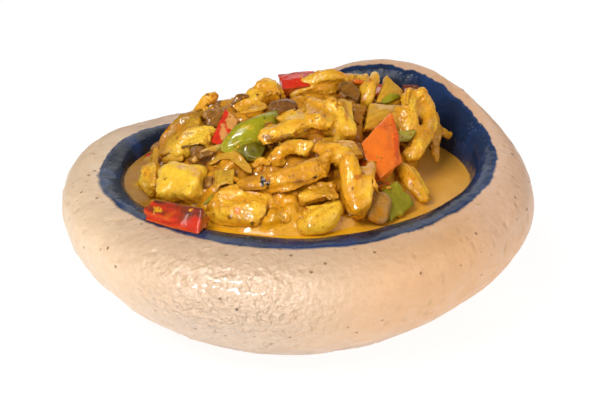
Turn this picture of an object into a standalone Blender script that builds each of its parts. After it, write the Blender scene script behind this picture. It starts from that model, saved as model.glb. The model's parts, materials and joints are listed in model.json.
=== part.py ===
"""Chicken curry heaped in a hand-shaped stoneware pot.

Everything is laid out in millimetres and turned into metres by MM. The origin is the centre of
the pot's flat base, +X is the pot's right, -Y its low front and +Z is up. The pot is one closed
shell lofted round its axis. The hidden middle of the curry is one mound, the pieces that show lie
on that mound, and the sauce fills the pot up to its level round all of them.
"""
import math
import random

import bmesh
import bpy
from mathutils import Vector, noise
from mathutils.bvhtree import BVHTree

MM = 0.001

# ---------------------------------------------------------------- driving dimensions, millimetres
POT_HALF_WIDTH = 124.5      # widest point of the wall, the girth, left and right
POT_BACK_DEPTH = 110.5      # girth behind the axis
POT_FRONT_DEPTH = 109.5     # girth in front of the axis
GIRTH_HEIGHT = 63.5
BASE_SHARE = 0.44           # flat base radius as a share of the girth
RIM_HEIGHT = 79.5           # low front rim
RIM_HALF_WIDTH = 106.0      # crest of the rim
RIM_BACK_DEPTH = 96.5
RIM_FRONT_DEPTH = 86.5
LIP_RISE = 34.0             # the raised lip at the back right
MOUTH_ROLL = 13.0           # from the crest in to the sauce's edge
FLOOR_HEIGHT = 12.0         # inside floor, under the curry
FLOOR_SHARE = 0.55          # floor radius as a share of the mouth
SAUCE_LEVEL = 74.0
HEAP_TOP = 114.0
HEAP_CENTRE = (-5.0, 25.0)
HEAP_LEFT, HEAP_RIGHT = 86.0, 72.0
HEAP_FRONT, HEAP_BACK = 100.0, 58.0
SIDE_HEAP = (50.0, 41.0)    # a second, lower top leaning on the raised lip
SIDE_HEAP_RISE = 14.0
SIDE_HEAP_SPREAD = (15.0, 20.0)
LUMP = 6.0                  # how uneven the far side of the heap is
LUMP_WIDTH = 17.0
HEAP_FOOT = 66.0            # the mound stands a little way down in the sauce
GAP = 0.3                   # left between solids that touch

POT_SIDES = 40
HEAP_SIDES = 30
NEARLY_FLAT = 3.6           # degrees of bend below which two faces are made one
CUTTER_SWELL = 0.40         # how much a piece grows to cut its neighbours

# Swellings of the hand-shaped wall: angle from +X, spread to each side in degrees, size.
GIRTH_SWELLS = ((148, 22, 22, 5.0), (237, 22, 22, 4.5), (325, 20, 20, -5.0), (33, 18, 18, -3.5),
                (0, 14, 14, 2.0))
RIM_SWELLS = ((150, 24, 24, 4.5), (42, 18, 18, 5.5), (325, 26, 22, -9.0), (215, 26, 26, -4.0))
HEIGHT_SWELLS = ((58, 34, 29, LIP_RISE), (158, 14, 14, 4.0), (0, 20, 16, 2.0))
SQUARE_SWELLS = ((145, 35, 35, 1.4),)
BELLY = 1.96                # exponent of the wall's curve under the girth
BELLY_SWELLS = ((322, 35, 35, -0.16), (210, 30, 30, -0.2))

COLOURS = {
    "stoneware": (0.62, 0.42, 0.27, 1),
    "sauce": (0.55, 0.27, 0.04, 1),
    "chicken": (0.68, 0.36, 0.04, 1),
    "red_pepper": (0.62, 0.05, 0.01, 1),
    "orange_pepper": (0.80, 0.16, 0.01, 1),
    "green_pepper": (0.30, 0.29, 0.03, 1),
    "onion": (0.55, 0.34, 0.08, 1),
    "mushroom": (0.22, 0.11, 0.03, 1),
}


# ------------------------------------------------------------------------------------ small tools
def material(name):
    """The Principled material of that name, made once."""
    made = bpy.data.materials.get(name)
    if made is None:
        made = bpy.data.materials.new(name)
        made.use_nodes = True
        shader = made.node_tree.nodes["Principled BSDF"]
        shader.inputs["Base Color"].default_value = COLOURS[name]
        shader.inputs["Roughness"].default_value = 0.75 if name == "stoneware" else 0.35
        shader.inputs["Metallic"].default_value = 0.0
    return made


def add_object(name, bm, colour, collection):
    """A mesh object in metres from a bmesh in millimetres."""
    bmesh.ops.recalc_face_normals(bm, faces=bm.faces)
    bmesh.ops.scale(bm, vec=(MM, MM, MM), verts=bm.verts)
    mesh = bpy.data.meshes.new(name)
    bm.to_mesh(mesh)
    bm.free()
    mesh.materials.append(material(colour))
    obj = bpy.data.objects.new(name, mesh)
    collection.objects.link(obj)
    return obj


def baked(obj):
    """Apply the object's modifiers to its own mesh, and split its faces into triangles."""
    bpy.context.view_layer.update()
    mesh = bpy.data.meshes.new_from_object(obj.evaluated_get(bpy.context.evaluated_depsgraph_get()))
    obj.modifiers.clear()
    bm = bmesh.new()
    bm.from_mesh(mesh)
    bmesh.ops.triangulate(bm, faces=bm.faces)
    bm.to_mesh(mesh)
    bm.free()
    obj.data = mesh
    return obj


def lofted(rings, cap_start=True, cap_end=True):
    """A bmesh skin through rings of equally many points."""
    bm = bmesh.new()
    rows = [[bm.verts.new(point) for point in ring] for ring in rings]
    count = len(rows[0])
    for low, high in zip(rows, rows[1:]):
        for i in range(count):
            j = (i + 1) % count
            bm.faces.new((low[i], low[j], high[j], high[i]))
    if cap_start:
        bm.faces.new(rows[0][::-1])
    if cap_end:
        bm.faces.new(rows[-1])
    return bm


# -------------------------------------------------------------------------------------------- pot
def swell(angle, swells):
    """Sum of bell-shaped swellings at an angle in degrees."""
    total = 0.0
    for centre, before, after, size in swells:
        away = (angle - centre + 180) % 360 - 180
        spread = before if away < 0 else after
        total += size * math.exp(-0.5 * (away / spread) ** 2)
    return total


def ellipse_radius(angle, half_width, depth_back, depth_front):
    """Polar radius of an oval whose back and front halves differ in depth."""
    depth = depth_back if angle % 360 < 180 else depth_front
    c = math.cos(math.radians(angle)) / half_width
    s = math.sin(math.radians(angle)) / depth
    return 1 / math.hypot(c, s)


def girth(angle):
    """Radius of the wall at its widest."""
    oval = ellipse_radius(angle, POT_HALF_WIDTH, POT_BACK_DEPTH, POT_FRONT_DEPTH)
    return oval + swell(angle, GIRTH_SWELLS)


def rim(angle):
    """Radius and height of the rim's crest."""
    oval = ellipse_radius(angle, RIM_HALF_WIDTH, RIM_BACK_DEPTH, RIM_FRONT_DEPTH)
    return oval + swell(angle, RIM_SWELLS), RIM_HEIGHT + swell(angle, HEIGHT_SWELLS)


def mouth(angle):
    """Radius of the inside wall at the sauce."""
    return rim(angle)[0] - MOUTH_ROLL


def pot_profile(angle):
    """Wall section from the edge of the base, up outside, over the rim and down to the floor."""
    wide = girth(angle)
    base = BASE_SHARE * wide
    crest, top = rim(angle)
    belly = BELLY + swell(angle, BELLY_SWELLS)
    reach = GIRTH_HEIGHT / (1 - (base / wide) ** belly) ** (1 / belly)
    profile = [(base, 0.0)]
    for i in range(1, 7):
        height = GIRTH_HEIGHT * (1 - math.cos(math.pi / 2 * i / 6))
        drop = (GIRTH_HEIGHT - height) / reach
        profile.append((wide * (1 - drop ** belly) ** (1 / belly), height))
    power = 2 / (2.2 + swell(angle, SQUARE_SWELLS))  # a squarer shoulder at the back left
    for i in range(1, 6):
        turn = math.pi / 2 * i / 5
        profile.append((crest + (wide - crest) * math.cos(turn) ** power,
                        GIRTH_HEIGHT + (top - GIRTH_HEIGHT) * math.sin(turn) ** power))
    inner = mouth(angle)
    foot = SAUCE_LEVEL - 3
    for i in range(1, 5):
        turn = math.pi / 2 * i / 4
        profile.append((crest - (crest - inner) * math.sin(turn),
                        foot + (top - foot) * math.cos(turn) ** 0.8))
    profile.append((inner * 0.93, 44.0))
    profile.append((inner * 0.78, 24.0))
    profile.append((inner * FLOOR_SHARE, FLOOR_HEIGHT))
    return profile


def around(angle, radius, height):
    turn = math.radians(angle)
    return Vector((radius * math.cos(turn), radius * math.sin(turn), height))


def make_pot(collection):
    angles = [360 * i / POT_SIDES for i in range(POT_SIDES)]
    profiles = [pot_profile(angle) for angle in angles]
    rings = [[around(angle, *profile[k]) for angle, profile in zip(angles, profiles)]
             for k in range(len(profiles[0]))]
    pot = add_object("pot", lofted(rings), "stoneware", collection)
    pot.data.shade_smooth()
    pot.data.set_sharp_from_angle(angle=math.radians(50))
    return baked(pot)


# ------------------------------------------------------------------------------------- heap, sauce
def heap_share(x, y):
    """0 at the middle of the heap, 1 at its edge."""
    dx = x - HEAP_CENTRE[0]
    dy = y - HEAP_CENTRE[1]
    return math.hypot(dx / (HEAP_RIGHT if dx > 0 else HEAP_LEFT),
                      dy / (HEAP_BACK if dy > 0 else HEAP_FRONT))


def heap_height(x, y):
    """Height of the mound that the pieces lie on; it goes on falling outside its edge."""
    away = math.hypot((x - SIDE_HEAP[0]) / SIDE_HEAP_SPREAD[0], (y - SIDE_HEAP[1]) / SIDE_HEAP_SPREAD[1])
    side = SIDE_HEAP_RISE * math.exp(-0.5 * away ** 2)
    return SAUCE_LEVEL - 2 + (HEAP_TOP - SAUCE_LEVEL + 2) * (1 - heap_share(x, y) ** 2) + side


def lumps(x, y):
    """Unevenness of the heap's far side, which carries few pieces of its own."""
    share = min(max((y - 34) / 14, 0), 1)
    return share * LUMP * noise.noise(Vector((x / LUMP_WIDTH, y / LUMP_WIDTH, 0.5)))


def make_heap(collection):
    """The middle and the far side of the curry: a mound on a flat foot, uneven at the back."""
    rings = []
    for share in (1.03, 0.97, 0.86, 0.72, 0.56, 0.4, 0.2):
        ring = []
        for i in range(HEAP_SIDES):
            turn = 2 * math.pi * i / HEAP_SIDES
            dx = math.cos(turn) * share * (HEAP_RIGHT if math.cos(turn) > 0 else HEAP_LEFT)
            dy = math.sin(turn) * share * (HEAP_BACK if math.sin(turn) > 0 else HEAP_FRONT)
            x, y = HEAP_CENTRE[0] + dx, HEAP_CENTRE[1] + dy
            ring.append(Vector((x, y, max(heap_height(x, y) + lumps(x, y) - 1.0, HEAP_FOOT + 2))))
        rings.append(ring)
    foot = [Vector((p.x, p.y, HEAP_FOOT)) for p in rings[0]]
    return baked(add_object("heap_core", lofted([foot] + rings), "chicken", collection))


def make_sauce(collection):
    """Sauce from the pot's floor to its level, a gap clear of the wall."""
    angles = [360 * i / POT_SIDES for i in range(POT_SIDES)]
    rings = []
    inside = {angle: [p for p in pot_profile(angle)[-4:]] for angle in angles}
    for k in (3, 2, 1, 0):
        lift = 2 * GAP if k == 3 else 0.0
        ring = []
        for angle in angles:
            radius, height = inside[angle][k]
            ring.append(around(angle, radius - 2 * GAP, height + lift))
        rings.append(ring)
    rings.append([around(angle, mouth(angle) - GAP, SAUCE_LEVEL) for angle in angles])
    return baked(add_object("sauce", lofted(rings), "sauce", collection))


# ----------------------------------------------------------------------------------------- pieces
def heap_normal(x, y):
    """Which way the mound faces at a place."""
    step = 1.0
    fall_x = (heap_height(x + step, y) - heap_height(x - step, y)) / (2 * step)
    fall_y = (heap_height(x, y + step) - heap_height(x, y - step)) / (2 * step)
    return Vector((-fall_x, -fall_y, 1)).normalized()


def path_point(points, t):
    """A point on the smooth curve through 2, 3 or 4 points."""
    last = len(points) - 1
    i = min(int(t * last), last - 1)
    u = t * last - i
    p1, p2 = points[i], points[i + 1]
    m1 = (p2 - points[i - 1]) / 2 if i > 0 else p2 - p1
    m2 = (points[i + 2] - p1) / 2 if i + 2 <= last else p2 - p1
    return ((2 * u ** 3 - 3 * u ** 2 + 1) * p1 + (u ** 3 - 2 * u ** 2 + u) * m1
            + (3 * u ** 2 - 2 * u ** 3) * p2 + (u ** 3 - u ** 2) * m2)


def strip(name, colour, path, width, thick, ends=(0.7, 0.7), face=None, rings=4, rough=0.17):
    """A piece of meat or petal: a rounded cage along a path, wide across the given face.

    path is the middle line in millimetres, ends are the widths at both ends as shares of the
    middle, and rough is how far the cage's corners stray from even.
    """
    draw = random.Random(name)
    points = [Vector(p) for p in path]
    middle = points[len(points) // 2]
    outward = Vector(face).normalized() if face else heap_normal(middle.x, middle.y)
    cage = []
    for i in range(rings):
        t = i / (rings - 1)
        here = path_point(points, t)
        ahead = path_point(points, min(t + 0.05, 1)) - path_point(points, max(t - 0.05, 0))
        side = ahead.cross(outward).normalized()
        up = side.cross(ahead).normalized()
        share = 1 - (1 - (ends[0] if t < 0.5 else ends[1])) * abs(2 * t - 1) ** 2
        here += (side * width + up * thick) * draw.uniform(-rough, rough) * 0.4
        ring = []
        for across, above in ((-1, -1), (1, -1), (1, 1), (-1, 1)):
            half_width = width / 2 * share * (1.22 + draw.uniform(-rough, rough) * 1.6)
            half_thick = thick / 2 * (0.4 + 0.6 * share) * (1.22 + draw.uniform(-rough, rough) * 1.6)
            slant = ahead.normalized() * draw.uniform(-rough, rough) * width * 0.8
            ring.append(here + side * across * half_width + up * above * half_thick + slant)
        cage.append(ring)
    bm = lofted(cage)
    crease = bm.edges.layers.float.new("crease_edge")
    for edge in bm.edges:
        edge[crease] = draw.choice((0.0, 0.0, 0.5, 0.9)) if rough > 0.1 else 0.0
    obj = add_object(name, bm, colour, bpy.context.collection)
    rounding = obj.modifiers.new("rounding", 'SUBSURF')
    rounding.levels = rounding.render_levels = 1
    obj.data.shade_smooth()
    return baked(obj)


def plate(name, colour, corners, thick, bulge=2.0, steps=3):
    """A cut of pepper or onion: a bulging four-cornered patch of even thickness.

    corners are in order round the outer face.
    """
    a, b, c, d = (Vector(corner) for corner in corners)
    outward = (c - a).cross(d - b).normalized()
    bm = bmesh.new()
    grid = []
    for i in range(steps + 1):
        u = i / steps
        row = []
        for j in range(steps + 1):
            v = j / steps
            flat = (a * (1 - u) + b * u) * (1 - v) + (d * (1 - u) + c * u) * v
            rise = bulge * (1 - (2 * u - 1) ** 2 * 0.8) * (1 - (2 * v - 1) ** 2 * 0.4)
            row.append(bm.verts.new(flat + outward * rise))
        grid.append(row)
    for i in range(steps):
        for j in range(steps):
            bm.faces.new((grid[i][j], grid[i + 1][j], grid[i + 1][j + 1], grid[i][j + 1]))
    obj = add_object(name, bm, colour, bpy.context.collection)
    if obj.data.polygons[0].normal.dot(outward) < 0:
        obj.data.flip_normals()
    shell = obj.modifiers.new("wall", 'SOLIDIFY')
    shell.thickness = thick * MM
    shell.offset = -1
    return baked(obj)


def mushroom(name, at, facing, tip, width, thick, stem=0.6):
    """A slice through a mushroom: a domed cap over a stem, extruded to its thickness."""
    draw = random.Random(name)
    centre = Vector(at)
    normal = Vector(facing).normalized()
    crown = (Vector(tip) - normal * Vector(tip).dot(normal)).normalized()
    side = crown.cross(normal)
    half = width / 2
    outline = [(math.cos(math.pi * i / 8) * half, math.sin(math.pi * i / 8) * half * 0.85)
               for i in range(9)]
    outline += [(-0.85 * half, -0.2 * half), (-0.35 * half, -0.25 * half), (-0.3 * half, -stem * half),
                (0.3 * half, -stem * half), (0.35 * half, -0.25 * half), (0.85 * half, -0.2 * half)]
    rings = []
    for depth, shrink in ((-0.5, 0.9), (-0.25, 1.0), (0.25, 1.0), (0.5, 0.9)):
        lean = draw.uniform(-0.6, 0.6)
        rings.append([centre + side * (x * shrink + lean) + crown * y * shrink + normal * depth * thick
                      for x, y in outline])
    return baked(add_object(name, lofted(rings), "mushroom", bpy.context.collection))


def front_pieces():
    """The low front row, from the rim's left to its right."""
    return [
        plate("pepper_red_front", "red_pepper",
              [(-76, -60, 80), (-49, -76, 79), (-47, -67, 89), (-73, -54, 88)], 11, bulge=1.5),
        strip("chicken_left_chunk", "chicken",
              [(-68, -28, 85), (-58, -33, 88), (-49, -38, 88)], 19, 16, ends=(0.75, 0.95)),
        strip("chicken_left_small", "chicken", [(-76, -1, 84), (-75, -13, 83), (-73, -24, 79)],
              11, 11, ends=(0.7, 0.8)),
        strip("chicken_front_upright", "chicken", [(29, -38, 100), (27, -51, 92), (26, -60, 79)],
              15, 12, ends=(1.05, 0.7), rings=5),
        strip("chicken_front_lump", "chicken", [(0, -61, 80), (11, -59, 81), (20, -57, 80)],
              12, 12, ends=(0.8, 0.7), rings=5),
        strip("chicken_front_left", "chicken", [(-42, -46, 84), (-26, -51, 83), (-9, -56, 81)],
              22, 13, ends=(0.8, 0.75), rings=5),
        strip("chicken_front_lobe", "chicken", [(-5, -58, 82), (-1, -62, 79)],
              11, 10, ends=(0.8, 0.8)),
        plate("pepper_green_front", "green_pepper",
              [(41, -41, 87), (45, -53, 76), (58, -37, 78), (49, -30, 88)], 5, bulge=1.5),
        strip("mushroom_front", "mushroom", [(39, -45, 89), (39, -51, 83), (38, -57, 76)], 12, 5,
              ends=(0.75, 0.7), face=(0.1, -0.8, 0.5), rough=0.05),
        strip("chicken_right_front", "chicken", [(54, -14, 92), (60, -24, 84), (66, -32, 75)],
              11, 7, ends=(0.7, 0.8), face=(0.3, -0.6, 0.7), rough=0.08),
    ]


def middle_pieces():
    """What lies on the front slope of the heap."""
    return [
        strip("chicken_long_strip", "chicken", [(-34, -47, 93), (-9, -50, 97), (16, -42, 101)],
              11, 10, ends=(0.8, 1.1), rings=5),
        plate("pepper_orange", "orange_pepper",
              [(47, 3, 112), (29, -27, 105), (40, -39, 93), (52, -22, 95)], 8, bulge=3),
        strip("chicken_centre_flat", "chicken", [(8, -37, 104), (20, -31, 106), (33, -25, 104)],
              15, 10, ends=(0.8, 0.8)),
        strip("chicken_mid_curl", "chicken",
              [(-14, -38, 101), (-11, -32, 107), (0, -30, 108), (4, -36, 105)], 10, 10,
              ends=(0.8, 0.7), rings=5),
        strip("chicken_centre_ragged", "chicken", [(-2, -54, 89), (20, -50, 89)], 11, 10,
              ends=(0.8, 0.9)),
        strip("onion_arch", "onion", [(-47, -28, 95), (-36, -27, 102), (-23, -43, 97)], 7, 3,
              ends=(0.6, 0.7), rings=5, rough=0.06),
        plate("onion_square", "onion",
              [(-43, -33, 95), (-42, -46, 88), (-33, -49, 90), (-33, -36, 97)], 4, bulge=1.5),
        mushroom("mushroom_left_mid", (-52, -20, 96), (0.1, -0.9, 0.4), (0.9, 0.2, 0.5), 14, 5),
        strip("brown_bit", "mushroom", [(-48, -40, 92), (-45, -38, 88)], 6, 6),
        strip("chicken_left_mid", "chicken", [(-66, -3, 92), (-55, -8, 98), (-45, -12, 102)],
              17, 13, ends=(0.75, 0.8)),
        plate("pepper_green_main", "green_pepper",
              [(-45, -22, 102), (-19, -38, 102), (-9, -8, 116), (-33, -12, 111)], 7, bulge=4),
        plate("pepper_red_left", "red_pepper",
              [(-46, -14, 103), (-38, -22, 102), (-32, -7, 112), (-39, 2, 115)], 6, bulge=1.5),
        strip("chicken_left_strip", "chicken", [(-75, -1, 88), (-63, -2, 101), (-50, 3, 112)],
              14, 9, ends=(0.6, 0.6), rough=0.1),
        mushroom("mushroom_left", (-45, -1, 109), (0.2, -0.9, 0.5), (0.7, 0.2, 0.7), 14, 5),
        strip("chicken_left_tip", "chicken", [(-56, 16, 105), (-50, 12, 111), (-43, 6, 116)],
              12, 9, ends=(0.6, 0.9)),
    ]


def top_pieces():
    """What crowns the heap, and what leans on the raised lip at the back right."""
    return [
        strip("chicken_finger", "chicken", [(-19, -25, 109), (-7, -21, 112), (4, -14, 115)],
              10, 10, ends=(0.8, 0.9), rings=5),
        strip("chicken_finger_thin", "chicken", [(-14, -15, 114), (0, -8, 118)], 7, 7,
              ends=(0.8, 1.0)),
        strip("chicken_top_lobe", "chicken", [(19, 7, 115), (22, -6, 113), (22, -20, 107)],
              14, 12, ends=(0.75, 0.75), rings=5),
        strip("chicken_centre", "chicken", [(4, 5, 117), (9, -8, 115), (8, -19, 109)],
              14, 12, ends=(0.8, 0.8)),
        strip("mushroom_top", "mushroom", [(-17, -1, 115), (-9, 1, 117), (-1, 4, 116)], 9, 6,
              face=(0, -0.3, 1), rough=0.06),
        strip("chicken_back_left", "chicken", [(-27, 13, 114), (-18, 19, 118), (-8, 15, 117)],
              10, 10, ends=(0.6, 0.7)),
        strip("chicken_back_low", "chicken", [(-33, 9, 109), (-17, 4, 112)], 12, 10, rings=3),
        plate("pepper_red_back", "red_pepper",
              [(-12, 39, 121), (-9, 22, 119), (7, 27, 119), (8, 40, 123)], 7, bulge=2.5),
        strip("chicken_back_centre", "chicken", [(-2, 25, 114), (13, 34, 118), (28, 33, 116)],
              12, 12, ends=(0.8, 0.7), rings=5),
        plate("onion_right_a", "onion",
              [(37, 15, 113), (34, -4, 106), (54, 10, 102), (55, 24, 109)], 4, bulge=2),
        plate("onion_right_b", "onion",
              [(47, 38, 121), (41, 21, 112), (53, 25, 108), (56, 36, 113)], 4, bulge=2),
        strip("chicken_cone", "chicken", [(33, 23, 112), (37, 30, 117), (42, 39, 123)], 11, 9,
              ends=(0.8, 0.25), rough=0.08),
        mushroom("mushroom_back", (25, 24, 116), (0.1, -0.5, 0.8), (0.7, 0.6, 0.3), 14, 5),
        strip("chicken_shade", "chicken", [(30, 19, 109), (30, -1, 104)], 13, 10, rings=3),
        strip("chicken_right_a", "chicken", [(63, 38, 111), (60, 27, 109), (55, 14, 104)], 10, 9,
              ends=(0.6, 0.9)),
        strip("chicken_right_b", "chicken",
              [(68, 37, 108), (70, 22, 99), (64, 4, 94), (54, -11, 93)], 8, 9,
              ends=(0.7, 0.8), rings=6, face=(0, -0.8, 0.6)),
        strip("chicken_right_c", "chicken", [(74, 36, 101), (74, 24, 91), (72, 13, 82)], 7, 7,
              ends=(0.7, 0.6), face=(0, -0.8, 0.6)),
        strip("chicken_right_tip", "chicken", [(77, 34, 90), (83, 32, 89)], 8, 6,
              ends=(0.9, 0.5)),
        plate("pepper_green_mid", "green_pepper",
              [(51, -1, 104), (51, -5, 99), (62, 2, 97), (63, 7, 101)], 5, bulge=1.5),
        plate("pepper_dark_back", "red_pepper",
              [(56, 41, 115), (57, 37, 111), (64, 38, 111), (65, 40, 115)], 5, bulge=1),
    ]


def back_pieces():
    """The far side of the heap, made of the same things."""
    return [
        strip("chicken_rear_strip", "chicken", [(-50, 50, 95), (-26, 70, 90), (-4, 76, 88)],
              13, 11, ends=(0.7, 0.8), rings=5),
        strip("chicken_rear_left", "chicken", [(-74, 20, 87), (-64, 34, 89), (-52, 46, 89)],
              14, 12, ends=(0.8, 0.7)),
        plate("pepper_green_rear", "green_pepper",
              [(-30, 66, 94), (-36, 50, 104), (-14, 56, 108), (-8, 72, 96)], 6, bulge=3),
        strip("chicken_rear_low", "chicken", [(-4, 70, 90), (14, 66, 97), (30, 58, 104)],
              14, 12, ends=(0.8, 0.8)),
        plate("pepper_red_rear", "red_pepper",
              [(38, 68, 96), (34, 52, 110), (52, 50, 112), (58, 64, 97)], 6, bulge=3),
        plate("onion_rear", "onion",
              [(-26, 44, 109), (-32, 36, 110), (-18, 33, 114), (-12, 42, 112)], 4, bulge=1.5),
        strip("chicken_rear_top", "chicken", [(8, 52, 110), (22, 50, 112), (38, 48, 114)],
              13, 11, ends=(0.7, 0.7)),
        mushroom("mushroom_rear", (-40, 40, 102), (-0.2, 0.6, 0.8), (-0.5, 0.6, 0.3), 18, 6),
    ]


# -------------------------------------------------------------------------------- fitting together
def swollen(obj):
    """A copy of the object's surface grown outward, for cutting what it touches."""
    bm = bmesh.new()
    bm.from_mesh(obj.data)
    bm.normal_update()
    moved = [vert.co + vert.normal * CUTTER_SWELL * MM for vert in bm.verts]
    for vert, place in zip(bm.verts, moved):
        vert.co = place
    mesh = bpy.data.meshes.new(obj.name + "_cutter")
    bm.to_mesh(mesh)
    bm.free()
    return mesh


def touches(obj, mesh):
    """Whether the two surfaces meet."""
    trees = []
    for data in (obj.data, mesh):
        bm = bmesh.new()
        bm.from_mesh(data)
        trees.append(BVHTree.FromBMesh(bm))
        bm.free()
    return bool(trees[0].overlap(trees[1]))


def signed_volume(island):
    """Volume inside a closed set of faces, negative where they face inward."""
    total = 0.0
    for face in {face for vert in island for face in vert.link_faces}:
        corners = [vert.co for vert in face.verts]
        for second, third in zip(corners[1:], corners[2:]):
            total += corners[0].dot(second.cross(third)) / 6
    return total


def largest_island(obj):
    """Keep the biggest connected part of a cut piece."""
    bm = bmesh.new()
    bm.from_mesh(obj.data)
    todo = set(bm.verts)
    islands = []
    while todo:
        stack = [todo.pop()]
        island = set(stack)
        while stack:
            for edge in stack.pop().link_edges:
                for vert in edge.verts:
                    if vert not in island:
                        island.add(vert)
                        stack.append(vert)
        todo -= island
        islands.append(island)
    islands.sort(key=signed_volume)
    extra = [vert for island in islands[:-1] for vert in island]
    bmesh.ops.delete(bm, geom=extra, context='VERTS')
    bm.to_mesh(obj.data)
    bm.free()


def thinned(obj):
    """Melt edges across which the surface hardly bends, which saves triangles."""
    bm = bmesh.new()
    bm.from_mesh(obj.data)
    bmesh.ops.dissolve_limit(bm, angle_limit=math.radians(NEARLY_FLAT), verts=bm.verts, edges=bm.edges)
    bmesh.ops.triangulate(bm, faces=bm.faces)
    bm.to_mesh(obj.data)
    bm.free()


def cut(obj, mesh):
    """Take a mesh out of an object, by the second solver where the first leaves nothing."""
    cutter = bpy.data.objects.new("cutter", mesh)
    bpy.context.collection.objects.link(cutter)
    whole = obj.data
    for solver in ('EXACT', 'MANIFOLD'):
        obj.data = whole
        change = obj.modifiers.new("cut", 'BOOLEAN')
        change.operation = 'DIFFERENCE'
        change.solver = solver
        change.object = cutter
        if len(baked(obj).data.polygons):
            break
    bpy.data.objects.remove(cutter)


def fit_together(solids):
    """Each solid gives way to those before it."""
    cutters = []
    for obj in solids:
        changed = False
        for mesh in cutters:
            if touches(obj, mesh):
                cut(obj, mesh)
                changed = True
        if changed:
            largest_island(obj)
        thinned(obj)
        cutters.append(swollen(obj))
    for mesh in cutters:
        bpy.data.meshes.remove(mesh)


def main():
    for obj in list(bpy.data.objects):
        bpy.data.objects.remove(obj)
    dish = bpy.data.collections.new("chicken_curry")
    bpy.context.scene.collection.children.link(dish)
    layer = bpy.context.view_layer.layer_collection.children[dish.name]
    bpy.context.view_layer.active_layer_collection = layer
    pot = make_pot(dish)
    heap = make_heap(dish)
    pieces = front_pieces() + middle_pieces() + top_pieces() + back_pieces()
    fit_together([pot, heap] + pieces + [make_sauce(dish)])


main()
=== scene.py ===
"""Looks for the chicken curry heaped in its hand-shaped stoneware pot.

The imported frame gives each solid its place. Every solid of food gets a finer skin here, with the
bundles, fibres, folds and torn ends of the real thing pressed into it and its colours painted on.
The pot is lofted again from the formulas of its CAD solid, with the clay's relief and the ragged
edge of the glaze. The far side of the heap and the gaps between the pieces are filled with more
of the same food over a smaller core. Numbers are millimetres unless a comment says otherwise.
"""

import json
import math

import bmesh
import bpy
import numpy as np
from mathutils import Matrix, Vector
from mathutils.bvhtree import BVHTree

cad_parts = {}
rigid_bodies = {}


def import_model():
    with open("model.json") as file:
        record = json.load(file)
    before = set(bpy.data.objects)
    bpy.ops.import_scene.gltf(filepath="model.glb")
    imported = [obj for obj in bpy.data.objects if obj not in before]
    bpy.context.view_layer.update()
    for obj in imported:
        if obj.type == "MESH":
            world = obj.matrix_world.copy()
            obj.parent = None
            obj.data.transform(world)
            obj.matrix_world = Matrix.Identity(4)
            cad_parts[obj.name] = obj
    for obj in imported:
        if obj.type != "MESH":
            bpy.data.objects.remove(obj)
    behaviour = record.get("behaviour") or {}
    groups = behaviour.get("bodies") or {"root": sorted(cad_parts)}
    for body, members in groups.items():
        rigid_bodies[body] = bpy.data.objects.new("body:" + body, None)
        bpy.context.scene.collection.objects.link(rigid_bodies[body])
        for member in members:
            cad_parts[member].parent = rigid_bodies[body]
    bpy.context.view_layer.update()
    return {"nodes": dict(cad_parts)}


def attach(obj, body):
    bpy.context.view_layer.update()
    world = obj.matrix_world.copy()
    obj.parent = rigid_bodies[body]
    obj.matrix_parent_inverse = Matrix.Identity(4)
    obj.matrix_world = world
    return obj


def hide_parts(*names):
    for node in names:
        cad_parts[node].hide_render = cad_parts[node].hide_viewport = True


MM = 0.001
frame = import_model()

# ---------------------------------------- the camera
CAMERA_HEIGHT = 24.0        # degrees above the table
CAMERA_AWAY = 0.75          # metres from what it looks at
CAMERA_AIM = 0.064          # metres above the table
PICTURE_WIDTH = 0.321       # metres across the picture at that distance
SENSOR = 36.0
TILT = math.radians(CAMERA_HEIGHT)
TOWARDS_CAMERA = np.array([0, -math.cos(TILT), math.sin(TILT)])
RAY_START = 400.0           # millimetres, well outside the pot

# ---------------------------------------- the pot, as its CAD solid has it
POT_HALF_WIDTH, POT_BACK_DEPTH, POT_FRONT_DEPTH = 124.5, 110.5, 109.5
GIRTH_HEIGHT = 63.5
BASE_SHARE = 0.44
RIM_HEIGHT = 79.5
RIM_HALF_WIDTH, RIM_BACK_DEPTH, RIM_FRONT_DEPTH = 106.0, 96.5, 86.5
LIP_RISE = 34.0
MOUTH_ROLL = 13.0
FLOOR_HEIGHT, FLOOR_SHARE = 12.0, 0.55
SAUCE_LEVEL = 74.0
SAUCE_FOOT = SAUCE_LEVEL - 3    # where the rim's inner side ends, just under the sauce
CREST_POWER = 0.8           # how full the rim's inner side is
GIRTH_SWELLS = ((148, 22, 22, 5.0), (237, 22, 22, 4.5), (325, 20, 20, -5.0), (33, 18, 18, -3.5),
                (0, 14, 14, 2.0))
RIM_SWELLS = ((150, 24, 24, 4.5), (42, 18, 18, 5.5), (325, 26, 22, -9.0), (215, 26, 26, -4.0))
HEIGHT_SWELLS = ((58, 34, 29, LIP_RISE), (158, 14, 14, 4.0), (0, 20, 16, 2.0))
SQUARE_SWELLS = ((145, 35, 35, 1.4),)
BELLY = 1.96
BELLY_SWELLS = ((322, 35, 35, -0.16), (210, 30, 30, -0.2))
GLAZE_LEAN = 5.0            # the glaze ends this far outside the crest in front, inside it behind
GLAZE_SWELLS = ((25, 18, 18, -3.0), (165, 20, 20, -1.5))

POT_COLUMNS = 660
BELLY_ROWS, SHOULDER_ROWS, ROLL_ROWS, WALL_ROWS, BASE_ROWS = 44, 36, 26, 14, 5
SAUCE_COLUMNS, SAUCE_ROWS = 320, 60

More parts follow.
